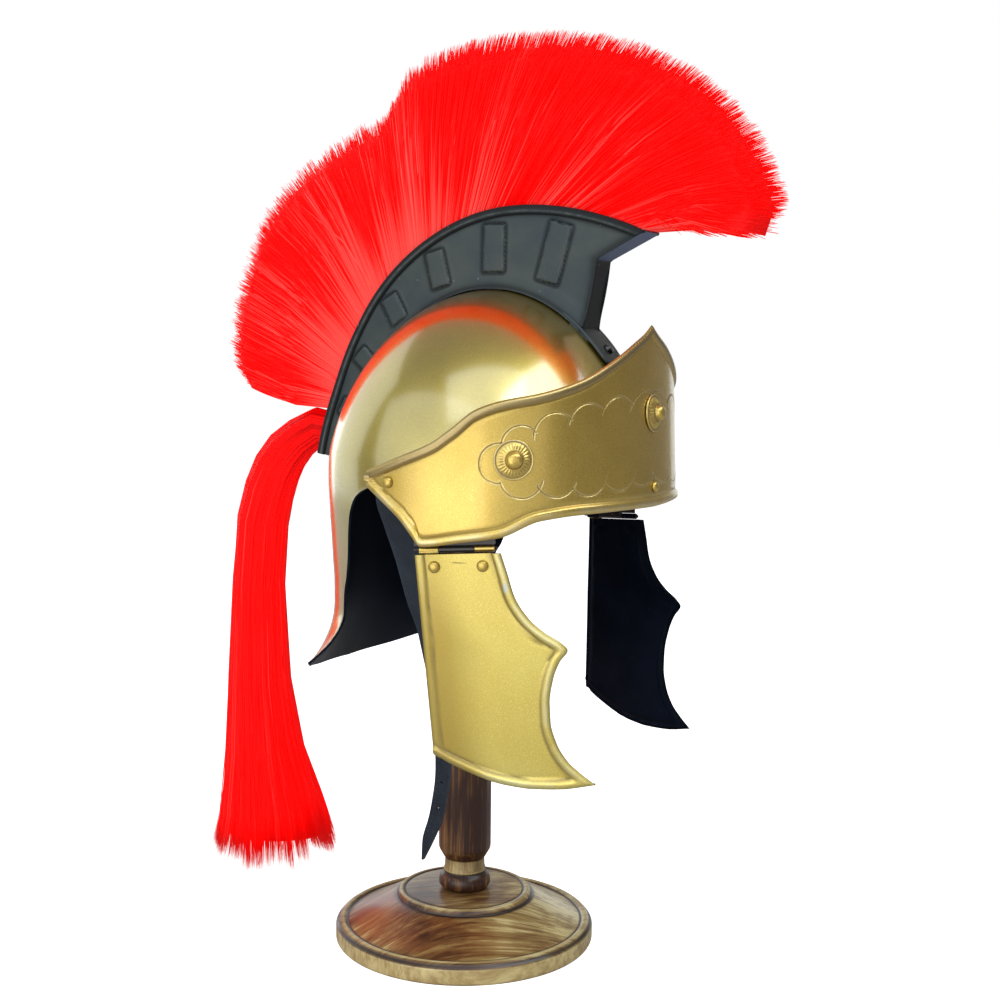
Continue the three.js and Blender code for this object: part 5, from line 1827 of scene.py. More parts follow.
def strand_mesh(rings: Array, tips: Array, shades: Array, name: str) -> bpy.types.Mesh:
    """Joins three-sided tapering strands into one mesh.

    Args:
        rings: strand, ring, corner and coordinate, in millimetres.
        tips: the point that each strand ends in.
        shades: the mark that tells strands apart, for each ring and the tip.
        name: the mesh's name.

    Returns:
        The mesh, in metres.
    """
    count, steps = rings.shape[:2]
    each = steps * 3 + 1
    points = np.concatenate([rings.reshape(count, -1, 3), tips[:, None, :]], 1) * MM
    base = np.arange(count)[:, None] * each
    quads = []
    for step in range(steps - 1):
        for corner in range(3):
            after = (corner + 1) % 3
            low, high = step * 3, step * 3 + 3
            quads.append([low + corner, low + after, high + after, high + corner])
    last = (steps - 1) * 3
    ends = [[last + corner, last + (corner + 1) % 3, each - 1] for corner in range(3)]
    triangles = [*ends, [2, 1, 0]]
    quad_index = (base[:, :, None] + np.array(quads)[None]).reshape(-1, 4)
    tri_index = (base[:, :, None] + np.array(triangles)[None]).reshape(-1, 3)
    corners = np.concatenate([quad_index.ravel(), tri_index.ravel()]).astype(np.int32)
    sizes = np.concatenate([np.full(len(quad_index), 4), np.full(len(tri_index), 3)])
    starts = np.concatenate([[0], np.cumsum(sizes)[:-1]]).astype(np.int32)
    mesh = bpy.data.meshes.new(name)
    mesh.vertices.add(count * each)
    mesh.vertices.foreach_set("co", points.astype(np.float32).ravel())
    mesh.loops.add(len(corners))
    mesh.loops.foreach_set("vertex_index", corners)
    mesh.polygons.add(len(sizes))
    mesh.polygons.foreach_set("loop_start", starts)
    mesh.update(calc_edges=True)
    mark = mesh.attributes.new("shade", "FLOAT", "POINT")
    marks = np.concatenate([np.repeat(shades[:, :-1], 3, axis=1), shades[:, -1:]], 1)
    mark.data.foreach_set("value", marks.astype(np.float32).ravel())
    mesh.shade_smooth()
    return mesh


@dataclass(frozen=True)
class Hairs:
    """How the hairs of one half of the hank run, with an entry for each hair.

    Places across the hank are shares of its half width and of its half depth.
    """

    end: Array
    side: Array
    back: Array
    lock_side: Array
    lock_back: Array
    wander: Array
    waves: Array


@dataclass
class Plume:
    """The standing brush of bristles and the hank of hair behind it."""

    paints: Paints
    fan_reach: float = 266.0
    fan_half_width: float = 18.0
    front_root: float = -30.3
    rear_root: float = 63.8
    brush_depth: float = 16.0
    bristles: int = 8800
    bristle_radius: float = 0.42
    bristle_taper: tuple[float, float, float] = (1.0, 1.0, 0.34)
    tufts: int = 210
    hairs: int = 1580
    hair_radius: float = 0.47
    locks: int = 30

    def build(self) -> None:
        """Builds the brush and the hank, each round a dense core."""
        self.brush_core()
        for side in Side:
            self.bristle_field(side)
        self.hank_core()
        for half in Side:
            self.hank(half)

    def fan(self, along: Array, share: Array, shorter: Array) -> Array:
        """A place in the fan's middle plane.

        Args:
            along: 0 at the front to 1 at the rear.
            share: 0 at the root to 1 at the tip.
            shorter: share of the reach that the bristle lacks.

        Returns:
            The place, with X at 0.
        """
        root_angle = self.front_root + (self.rear_root - self.front_root) * along
        root = FORM.crest(0.0, root_angle, FORM.crest_top(root_angle) - 1.5)
        tip = FORM.crest(0.0, FAN_ANGLE.at(along), self.fan_reach * FAN_TIP.at(along))
        run = tip - root
        run /= np.linalg.norm(run, axis=1, keepdims=True)
        tip = tip - run * (self.fan_reach * shorter)[:, None]
        bow = 2.0 + 3.0 * bell(along, 0, 0.06)
        bow += 5.0 * smooth_step(along, 0.4, 0.7) * (1 - smooth_step(along, 0.75, 1.0))
        bow -= 6.0 * smooth_step(along, 0.86, 1.0)
        bend = 4 * share * (1 - share) * bow
        spot = root + (tip - root) * share[:, None]
        spot[:, 2] += bend
        return spot

    def brush_core(self) -> None:
        """The dense middle: a loft whose section follows one bristle up and down again."""

        def spot(along: Array, v: Array) -> Array:
            """A place on the core; v runs -1 to 1 over the tips from side to side.

            Args:
                along: 0 at the front to 1 at the rear.
                v: 0 along the ridge, -1 and 1 at the roots.

            Returns:
                The place.
            """
            share = np.clip(1 - np.abs(v), 0, 1) * 0.955
            wide = BRUSH_WIDTH.at(share) * self.fan_half_width * 0.9
            ridge = np.clip(np.abs(v) / 0.12, 0, 1)
            place = self.fan(along, share, 0.02 + 0 * share)
            place[:, 0] = np.sign(v) * wide * np.sin(ridge * math.pi / 2)
            sunk = np.abs(v) > 0.999
            angle = self.front_root + (self.rear_root - self.front_root) * along
            angle = np.maximum(angle, -24.0 + 3.0 * along)
            foot = FORM.crest(place[:, 0], angle, FORM.crest_top(angle) - self.brush_depth)
            return np.where(sunk[:, None], foot, place)

        us = lines((0, 1, 150))
        vs = both_sides(lines((0, 0.12, 6), (0.12, 0.98, 14), (0.98, 1, 1)))
        bm = mapped_grid(us, vs, spot)
        self.chart(bm, us, vs)
        self.close_ends(bm)
        Piece(
            "plume_brush_core", bm, [self.paints.packed], Slot.HAIR, stands_for=["plume_brush"], sharp=80,
        ).place()

    def chart(self, bm: Mesh, us: Array, vs: Array) -> None:
        """Gives a grid mesh a UV map along its strands, from its vertices' order.

        Args:
            bm: the grid's mesh.
            us: its lines along.
            vs: its lines across.
        """
        layer = bm.loops.layers.uv.new("strands")
        bm.verts.ensure_lookup_table()
        wide = len(us)
        for face in bm.faces:
            for loop in face.loops:
                column, row = loop.vert.index % wide, loop.vert.index // wide
                loop[layer].uv = (column / (wide - 1), vs[min(row, len(vs) - 1)])

    def close_ends(self, bm: Mesh) -> None:
        """Fills the open border of a core and turns its faces out.

        Args:
            bm: the core's mesh.
        """
        rim = [edge for edge in bm.edges if edge.is_boundary]
        bmesh.ops.holes_fill(bm, edges=rim, sides=0)
        bmesh.ops.triangulate(bm, faces=[face for face in bm.faces if len(face.verts) > 4])
        bmesh.ops.recalc_face_normals(bm, faces=bm.faces)

    def bristle_field(self, side: Side) -> None:
        """The bristles of one half of the brush, densest at its outer face.

        Args:
            side: the half that is filled.
        """
        rng = np.random.default_rng(11 + side.value)
        count = self.bristles
        along = (np.arange(count) + rng.random(count)) / count
        rng.shuffle(along)
        across = 1 - np.abs(rng.normal(0, 0.2, count))
        deep = rng.random(count) < 0.3
        across = np.clip(np.where(deep, rng.random(count), across), 0, 1)
        tufts = self.tufts
        centres = np.cumsum(0.4 + rng.random(tufts))
        centres = centres / centres[-1]
        member = np.abs(along[:, None] - centres[None]).argmin(1)
        off = along - centres[member]
        pull = 0.04 + 0.2 * rng.random(tufts)[member]
        stray = rng.random(count) < 0.016
        tip_along = along - off * pull + rng.normal(0, 0.0013, count)
        tip_along = np.clip(tip_along + stray * rng.normal(0, 0.035, count), 0, 1)
        frayed = smooth_step(along, 0.42, 0.55)
        shorter = 0.07 * np.abs(across) ** 2.6 + (0.002 + 0.006 * frayed) * rng.exponential(1.0, count)
        uneven = 0.008 + 0.012 * smooth_step(centres, 0.42, 0.55)
        shorter += (uneven * (rng.random(tufts) - 0.5))[member]
        shorter += 0.16 * rng.random(count) * bell(along, 0, 0.02)
        shorter = np.clip(shorter, -0.008, 0.25)
        width = self.bristle_radius * (0.75 + 0.5 * rng.random(count))
        flow = 1 + rng.normal(0, 0.05, count)
        side_x = -side.value * across * self.fan_half_width * flow
        sway = rng.normal(-0.02, 0.05, count)
        spots = []
        middle = 0.36 + 0.34 * rng.random(count)
        for share in (0.0 * middle, middle, 0.985 + 0.0 * middle, 1.0 + 0.0 * middle):
            spot = self.fan(along + (tip_along - along) * share, share, shorter)
            spot[:, 0] = side_x * BRUSH_WIDTH.at(share) * (1 + sway * share)
            spots.append(spot)
        tip = spots.pop()
        forward = tip - spots[0]
        forward /= np.linalg.norm(forward, axis=1, keepdims=True)
        first = np.cross(forward, np.array([1.0, 0.0, 0.0]))
        first /= np.linalg.norm(first, axis=1, keepdims=True)
        across_it = (first, np.cross(forward, first))
        spin = rng.random(count) * math.tau
        rings = [
            corner_rings(spot, across_it, width * taper, spin)
            for spot, taper in zip(spots, self.bristle_taper)
        ]
        corners = np.stack(rings, 1)
        corners[:, 0] -= (forward * (3.0 * smooth_step(along, 0.0, 0.06) + 0.3)[:, None])[:, None, :]
        wave = 0.5 + 0.2 * np.sin(along * 37 + 0.7) + 0.15 * np.sin(along * 83 + 2)
        wave = wave + 0.1 * np.sin(along * 190)
        tone = np.clip(0.22 + wave * 0.34 + rng.random(count) * 0.34, 0, 1)
        # A painted pinker sheen at the roots towards the rear, and painted light on thin tips at the
        # rear.
        glow = (0.18 + 0.45 * smooth_step(along, 0.3, 0.62)) * (0.5 + 0.5 * rng.random(count))
        wisp = 0.7 * smooth_step(along, 0.4, 0.6) * rng.random(count) ** 2
        tones = [tone + glow * 1.3, tone + glow * 0.2, tone - 0.05 + wisp * 0.5, tone - 0.1 + wisp]
        name = f"plume_bristles_{side.name.lower()}"
        self.add_strands(name, strand_mesh(corners, tip, np.clip(np.stack(tones, 1), 0, 1), name))

    def add_strands(self, name: str, mesh: bpy.types.Mesh) -> None:
        """Puts a mesh of strands into the scene.

        Args:
            name: the piece's name.
            mesh: its strands.
        """
        mesh.materials.append(self.paints.hair)
        made = add_object(name, mesh)
        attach(made, "helmet")
        LOG.info("%s: %d faces", name, len(mesh.polygons))

    def hank_frame(self, share: Array) -> tuple[Array, Array, Array, Array, Array]:
        """Centre, depth direction, direction along, half width and half depth of the hank.

        Args:
            share: 0 at the root to 1 at the end.

        Returns:
            The five rows.
        """
        centre = np.stack([0 * share, HANK_Y.at(share), HANK_Z.at(share)], -1)
        low, high = np.clip(share - 0.012, 0, 1), np.clip(share + 0.012, 0, 1)
        back, down = (row.at(high) - row.at(low) for row in (HANK_Y, HANK_Z))
        along = np.stack([0 * share, back, down], -1)
        along /= np.linalg.norm(along, axis=1, keepdims=True)
        deep = np.cross(np.array([1.0, 0.0, 0.0]), along)
        half = HANK_HALF.at(share) * 0.86
        wide = 8.0 + (half * 0.68 - 8.0) * smooth_step(share, 0.03, 0.3)
        return centre, deep, along, wide, half

    def hank_core(self) -> None:
        """The dense middle of the hank."""

        def spot(turn: Array, share: Array) -> Array:
            """A place on the core's skin.

            Args:
                turn: round the core.
                share: along it; beyond 0 and 1 it closes.

            Returns:
                The place.
            """
            centre, deep, _, wide, half = self.hank_frame(np.clip(share, 0, 1) * 0.95)
            slim = np.where((share < 0) | (share > 1), 0.02, 0.84)
            place = centre + deep * (half * slim * np.sin(turn))[:, None]
            place[:, 0] += wide * slim * np.cos(turn)
            return place

        us = lines((0, math.tau, 40))
        vs = lines((-0.01, 0, 1), (0, 1, 60), (1, 1.01, 1))
        bm = mapped_grid(us, vs, spot)
        self.chart(bm, us, vs)
        join_seams(bm)
        self.close_ends(bm)
        Piece(
            "plume_tail_core", bm, [self.paints.packed], Slot.HAIR, stands_for=["plume_tail"], sharp=80
        ).place()

    def hank(self, half: Side) -> None:
        """The loose hairs of one half of the hank, gathered into locks towards their ends.

        Args:
            half: the half that is filled.
        """
        rng = np.random.default_rng(29 + half.value)
        count = self.hairs
        start = math.pi / 2 if half is Side.RIGHT else -math.pi / 2
        turn = start + rng.random(count) * math.pi
        radius = np.clip(1 - np.abs(rng.normal(0, 0.13, count)), 0.3, 1.0)
        a, b = radius * np.cos(turn), radius * np.sin(turn)
        locks = self.locks
        lock_turn = start + (np.arange(locks) + 0.3 + 0.4 * rng.random(locks)) / locks * math.pi
        member = np.abs(turn[:, None] - lock_turn[None]).argmin(1)
        lock_radius = 0.8 + 0.22 * rng.random(locks)
        lock_a = (lock_radius * np.cos(lock_turn))[member]
        lock_b = (lock_radius * np.sin(lock_turn))[member]
        back = lock_radius * np.sin(lock_turn)
        lean = back + 0.25
        lock_end = 1.036 - np.where(lean > 0, 0.032, 0.1) * lean**2 - 0.018 * rng.random(locks)
        lock_end -= 0.02 * (lock_radius * np.cos(lock_turn)) ** 2
        end = np.clip(lock_end[member] - rng.exponential(0.007, count), 0.85, 1.045)
        width = self.hair_radius * (0.75 + 0.5 * rng.random(count))
        wander = np.clip(rng.normal(0, 0.035, (count, 2)), -0.09, 0.09)
        waves = rng.random((count, 2)) * math.tau
        hairs = Hairs(end, a, b, lock_a, lock_b, wander, waves)
        rings = []
        for share in HAIR_STATIONS:
            spot, across = self.hair_spot(share, hairs)
            rings.append(corner_rings(spot, across, width * (1 - 0.55 * share), 0.0 * end))
        tip, _ = self.hair_spot(1.0, hairs)
        tone = (0.12 + 0.42 * rng.random(locks))[member] + rng.random(count) * 0.3
        # Painted shadow of the fan over the top of the hank.
        fan_shadow = 0.45 * bell(np.array([*HAIR_STATIONS, 1.0]), 0, 0.16)
        tones = np.clip(tone[:, None] - fan_shadow[None], 0, 1)
        name = f"plume_tail_hair_{half.name.lower()}"
        self.add_strands(name, strand_mesh(np.stack(rings, 1), tip, tones, name))

    def hair_spot(self, share: float, hairs: Hairs) -> tuple[Array, tuple[Array, Array]]:
        """Where each hair is at a share of its own length, and two directions across it.

        Args:
            share: share of the hair's length.
            hairs: the hairs.

        Returns:
            The places, and the two directions across.
        """
        at = share * hairs.end
        centre, deep, along, wide, half = self.hank_frame(np.minimum(at, 1.0))
        gather = 0.5 * share**2.5
        loose = min(1.0, share * 6)
        waves, wander = hairs.waves, hairs.wander
        side = hairs.side + (hairs.lock_side - hairs.side) * gather
        side = side + wander[:, 0] * np.sin(share * 5 + waves[:, 0]) * loose
        back = hairs.back + (hairs.lock_back - hairs.back) * gather
        back = back + wander[:, 1] * np.sin(share * 4 + waves[:, 1]) * loose
        spot = centre + deep * (half * back)[:, None]
        spot[:, 0] += wide * side
        spot += along * (np.maximum(0.0, at - 1.0) * 300.0)[:, None]
        return spot, (deep, np.cross(along, deep))


HAIR_STATIONS = (0.0, 0.055, 0.105, 0.15, 0.195, 0.245, 0.31, 0.44, 0.64, 0.79, 0.91)
FAN_KEYS = (
    *(0, 0.03, 0.07, 0.13, 0.2, 0.28, 0.38, 0.46, 0.52),
    *(0.55, 0.58, 0.65, 0.72, 0.79, 0.86, 0.92, 0.96, 1),
)
FAN_ANGLE = Table(
    FAN_KEYS, (-48.3, -46.2, -43, -35.5, -27, -17, -5, 5, 12, 15.2, 18, 26.5, 36, 44, 52, 59.5, 65, 68.5)
)
FAN_TIP = Table(
    FAN_KEYS,
    (
        *(0.825, 0.875, 0.905, 0.955, 0.987, 1.0, 0.994, 0.985, 0.964),
        *(0.92, 0.885, 0.89, 0.893, 0.878, 0.842, 0.808, 0.772, 0.715),
    ),
)
BRUSH_WIDTH = Table((0, 0.2, 0.6, 0.9, 1), (0.44, 0.62, 0.92, 1, 0.97))
HANK_KEYS = (
    *(0, 0.043, 0.09, 0.131, 0.183, 0.242, 0.296, 0.373),
    *(0.444, 0.515, 0.59, 0.661, 0.765, 0.853, 0.926, 1),
)
HANK_Y = Table(
    HANK_KEYS,
    (
        *(88, 100.6, 113.8, 124.1, 134.2, 141.8, 146.6, 149.6),
        *(150.8, 151, 150.8, 150.2, 147.5, 144.6, 141, 140.2),
    ),
)
HANK_Z = Table(
    HANK_KEYS,
    (297.5, 300.0, 294.4, 287.2, 275.0, 258.5, 242.5, 219, 197, 175, 152, 130, 98, 71, 48.7, 26),
)
HANK_HALF = Table(
    HANK_KEYS, (11, 12.8, 13.8, 15.6, 17.6, 18.8, 19.6, 20.2, 20.5, 21.5, 23.2, 26, 30.8, 37, 46.5, 54)
)


@dataclass
class CheekGuards:
    """Both cheek guards with their hinges and rivets."""

    paints: Paints
    wall: float = 1.3
    rim_width: float = 5.0
    rim_height: float = 1.25
    top_edge: float = 44.7
    length: float = 122.9
    tilt: float = 5.5
    pin_angle: float = 84.6
    pin_drop: float = 2.2
    pin_sink: float = 2.5
    toe_in: float = 17.4
    rise: float = 3.2
    barrel: float = 1.7
    bore: float = 0.95
    chamfer: float = 0.15
    gap: float = 0.2
    rivet_drop: float = 8.4
    rivet_inset: float = 9.8
    rivet_hole: float = 1.6
    rivet_grip: float = 3.1
    knuckles: tuple[float, float, float] = (13.0, 18.3, 10.4)
    overhang: float = 1.0
    knuckle_start: float = 2.0
    seat: float = 0.3
    leaf_sheet: float = 0.9
    leaf_drop: float = 14.0

    def build(self) -> None:
        """Builds both sides."""
        for side in Side:
            word = side.name.lower()
            self.guard(side, word)
            self.hinge(side, word)

    def hinge_matrix(self) -> Matrix:
        """The right hinge's frame: X along the pin from the rear, Y up, Z outward.

        Returns:
            The matrix.
        """
        toe, rise = math.radians(self.toe_in), math.radians(self.rise)
        along = Vector((math.sin(toe) * math.cos(rise), -math.cos(toe) * math.cos(rise), math.sin(rise)))
        level = Vector((-math.cos(toe), -math.sin(toe), 0))
        up = level.cross(along)
        matrix = Matrix((along, up, level)).transposed().to_4x4()
        height = FORM.band_corner_z - self.pin_drop
        matrix.translation = Vector(FORM.plan(self.pin_angle, height, -self.pin_sink))
        return matrix

    def hung(self) -> Matrix:
        """The frame of what hangs from the right hinge."""
        return self.hinge_matrix() @ Matrix.Rotation(math.radians(self.tilt), 4, "X")

    def front_edge(self, v: Array) -> Array:
        """The shaped front edge, from the top corner to the lower tip."""
        return np.stack([GUARD_FRONT.at(v) * self.top_edge, -v * self.length], -1)

    def rear_edge(self, v: Array) -> Array:
        """The straight rear edge."""
        return np.stack([0.05 * v * self.top_edge, -0.866 * v * self.length], -1)

    def bottom_edge(self, u: Array) -> Array:
        """The bowed lower edge, from the rear corner to the tip."""
        x = 0.05 + 1.885 * u
        return np.stack([x * self.top_edge, -GUARD_BOTTOM.at(x) * self.length], -1)

    def flat_spot(self, u: Array, v: Array) -> Array:
        """A place on the guard's plane, spread between its four edges.

        Args:
            u: from the rear edge to the front.
            v: from the top down.

        Returns:
            X and Y in the hung frame.
        """
        left, right = self.rear_edge(v), self.front_edge(v)
        top = np.stack([u * self.top_edge, 0 * u], -1)
        bottom = self.bottom_edge(u)
        u1, v1 = u[:, None], v[:, None]
        corners = (
            (1 - u1) * (1 - v1) * self.rear_edge(np.zeros(1))
            + u1 * (1 - v1) * self.front_edge(np.zeros(1))
            + (1 - u1) * v1 * self.rear_edge(np.ones(1))
            + u1 * v1 * self.front_edge(np.ones(1))
        )
        return (1 - u1) * left + u1 * right + (1 - v1) * top + v1 * bottom - corners

    def border_gap(self, flat: Array) -> tuple[Array, Array]:
        """Distance of each place from the beaded edges, and from the rear edge alone.

        Args:
            flat: places on the guard's plane.

        Returns:
            Both distances.
        """
        share = np.linspace(0, 1, 240)
        front, rear, bottom = self.front_edge(share), self.rear_edge(share), self.bottom_edge(share)

        def gap(path: Array) -> Array:
            """Least distance from a path's segments.

            Args:
                path: the path's corners.

            Returns:
                The distances.
            """
            best = np.full(len(flat), 1e9)
            for start, end in zip(path[:-1], path[1:]):
                run = end - start
                t = np.clip(((flat - start) @ run) / (run @ run), 0, 1)
                best = np.minimum(best, np.linalg.norm(flat - start - t[:, None] * run, axis=1))
            return best

        return np.minimum(gap(front), gap(bottom)), gap(rear)

    def guard(self, side: Side, word: str) -> None:
        """The guard's sheet with its pressed border.

        Args:
            side: the side.
            word: its name in the pieces' names.
        """
        edge = (0.0, 0.012, 0.03, 0.052, 0.076, 0.098, 0.114, 0.13)
        us = np.array([*edge, *np.linspace(0.19, 0.81, 9), *(1 - np.array(edge[::-1]))])
        vs = np.array([*np.linspace(0, 0.93, 96), 0.941, 0.952, 0.963, 0.974, 0.984, 0.992, 0.997, 1.0])
        store: dict[str, Array] = {}

        def spot(u: Array, v: Array) -> Array:
            """A place on the guard's outer face in the hinge's frame.

            Args:
                u: from the rear edge to the front.
                v: from the top down.

            Returns:
                The place.
            """
            flat = self.flat_spot(u, v)
            main, rear = self.border_gap(flat)
            bow = np.clip(1 - (2 * main / self.rim_width - 1) ** 2, 0, 1)
            height = self.rim_height * np.sqrt(bow)
            swell = np.clip(1 - (2 * rear / self.rim_width - 1) ** 2, 0, 1)
            height = np.maximum(height, 0.75 * np.sqrt(swell))
            height = height - 0.2 * bell(main - self.rim_width, 0.4, 0.5)
            height = height - 0.12 * bell(rear - self.rim_width, 0.3, 0.4)
            # Pale bead crests, partly wear and partly a painted highlight; painted shade beside the beads
            # and along the sheet's outer edge; a painted dark reflection towards the rear edge.
            store["raised"] = bell(main, 2.2, 1.2) + bell(rear, 2.6, 0.9) * 0.6
            near = bell(main - self.rim_width, 0.1, 0.7) * 0.85
            far = bell(rear - self.rim_width, 0.2, 0.5) * 0.55
            outer = bell(main, 0, 0.55) * 0.8
            store["hollow"] = strongest(near, far, outer, bell(rear, 0, 0.4) * 0.6)
            store["tan"] = (1 - smooth_step(u, 0.12, 0.52)) * (0.6 + 0.4 * smooth_step(v, 0.02, 0.3))
            store["flat_x"], store["flat_y"] = flat[:, 0], flat[:, 1]
            face = self.barrel + self.gap + self.wall
            low = -self.barrel - self.gap
            return np.stack([flat[:, 0], flat[:, 1] + low, face + height], -1)

        bm = mapped_grid(us, vs, spot)
        for name, values in store.items():
            write_layer(bm, name, values if "flat" in name else np.clip(values, 0, 1))
        refine(bm, np.minimum(*self.flaws(bm)) < 9, 5)
        dash, chip = self.flaws(bm)
        add_mark(bm, "hollow", np.exp(-dash))
        write_layer(bm, "chip", np.exp(-(chip**2)) * (side is Side.RIGHT))
        bmesh.ops.transform(bm, matrix=self.hung(), verts=bm.verts)
        bm.normal_update()
        face_away(bm, lambda place: place + Vector((10, 0, 0)))
        mirrored(bm, side)
        Piece(
            f"cheek_guard_{word}_sheet", bm, [self.paints.guard, self.paints.lining], Slot.TRIM,
            body=f"cheek_{word}", stands_for=[f"cheek_guard_{word}"], wall=self.wall,
        ).place()
        seat = self.barrel + self.gap + self.wall + 0.3
        for part, along in (("rear", self.rivet_inset), ("front", self.top_edge - self.rivet_inset)):
            rivet = RIVET.make(self.rivet_grip)
            shift = Matrix.Translation((along, -self.rivet_drop, seat))
            for face in rivet.faces:
                face.material_index = int(face.calc_center_median().z < -0.6)
            bmesh.ops.transform(rivet, matrix=self.hung() @ shift, verts=rivet.verts)
            mirrored(rivet, side)
            Piece(
                f"cheek_rivet_{part}_{word}_piece", rivet, [self.paints.trim, self.paints.lining],
                Slot.TRIM, body=f"cheek_{word}", stands_for=[f"cheek_rivet_{part}_{word}"],
            ).place()

    def flaws(self, bm: Mesh) -> tuple[Array, Array]:
        """How far each vertex is from the engraved dash and from the chip, in their own sizes.

        Args:
            bm: the guard's grid, with its flat layers.

        Returns:
            Both distances, squared.
        """
        x, y = read_layer(bm, "flat_x"), read_layer(bm, "flat_y")
        dash = ((x - 22.5) / 3.6) ** 4 + ((y + 4.6 + 0.06 * (x - 22.5)) / 0.3) ** 2
        return dash, ((x - 46.0) / 1.2) ** 2 + ((y + 18.0) / 2.8) ** 2

    def hinge(self, side: Side, word: str) -> None:
        """Dresses the hinge's own solids.

        Args:
            side: the side.
            word: its name in the pieces' names.
        """
        dress_node(f"hinge_upper_leaf_{word}", self.paints.hinge)
        dress_node(f"hinge_pin_{word}", self.paints.hinge)
        end = sum(self.knuckles) + 2 * self.seat - self.overhang
        rear = (self.knuckle_start, self.knuckles[0] - self.overhang)
        front = (end - self.knuckles[2], end)
        bm = bmesh.new()
        for low, high in (rear, front):
            self.add_tube(bm, low, high)
        face = self.barrel + self.gap - self.seat
        plate = [(0.0, end, -self.leaf_drop, -self.barrel - self.seat)]
        plate += [(low, high, -self.barrel - self.seat, 0.0) for low, high in (rear, front)]
        for low, high, bottom, top in plate:
            made = bmesh.ops.create_cube(bm, size=1.0)["verts"]
            bmesh.ops.scale(bm, vec=(high - low, top - bottom, self.leaf_sheet), verts=made)
            middle = Vector(((low + high) / 2, (bottom + top) / 2, face - self.leaf_sheet / 2))
            bmesh.ops.translate(bm, vec=middle, verts=made)
        for part in bm.faces:
            middle = part.calc_center_median()
            part.material_index = int(middle.z < 0.3 or middle.y < -self.barrel - self.seat)
        bmesh.ops.transform(bm, matrix=self.hung(), verts=bm.verts)
        mirrored(bm, side)
        leaf = Piece(
            f"hinge_leaf_{word}", bm, [self.paints.trim, self.paints.lining], Slot.TRIM,
            body=f"cheek_{word}", stands_for=[f"hinge_lower_leaf_{word}"], bevel=0.15,
        ).place()
        flip = Vector((side.value, 1, 1))
        normal = self.hung().to_3x3() @ UP
        for along in (self.rivet_inset, self.top_edge - self.rivet_inset):
            centre = self.hung() @ Vector((along, -self.rivet_drop, face))
            punch(leaf, centre * flip, normal * flip, self.rivet_hole)

    def add_tube(self, bm: Mesh, low: float, high: float) -> None:
        """Adds a knuckle round the pin, from low to high along it.

        Args:
            bm: the mesh that grows.
            low: one end.
            high: the other end.
        """
        bore, out, cut = self.bore, self.barrel, self.chamfer
        ring = [(bore, low), (out - cut, low), (out, low + cut), (out, high - cut)]
        ring += [(out - cut, high), (bore, high)]
        made = spun([*ring, ring[0]], 24)
        bmesh.ops.rotate(made, matrix=Matrix.Rotation(math.pi / 2, 3, "Y"), verts=made.verts)
        join_mesh(bm, made)


GUARD_KEYS = (
    *(0, 0.085, 0.183, 0.282, 0.34, 0.386, 0.415, 0.464),
    *(0.54, 0.647, 0.723, 0.814, 0.897, 0.95, 1),
)
GUARD_FRONT = Table(
    GUARD_KEYS,
    (1, 1.06, 1.125, 1.28, 1.45, 1.635, 1.7, 1.602, 1.512, 1.456, 1.454, 1.506, 1.626, 1.77, 1.935),
)
GUARD_BOTTOM = Table(
    (0.05, 0.26, 0.479, 0.698, 0.937, 1.21, 1.485, 1.935),
    (0.866, 0.913, 0.951, 0.985, 1.007, 1.02, 1.021, 1.0),
)


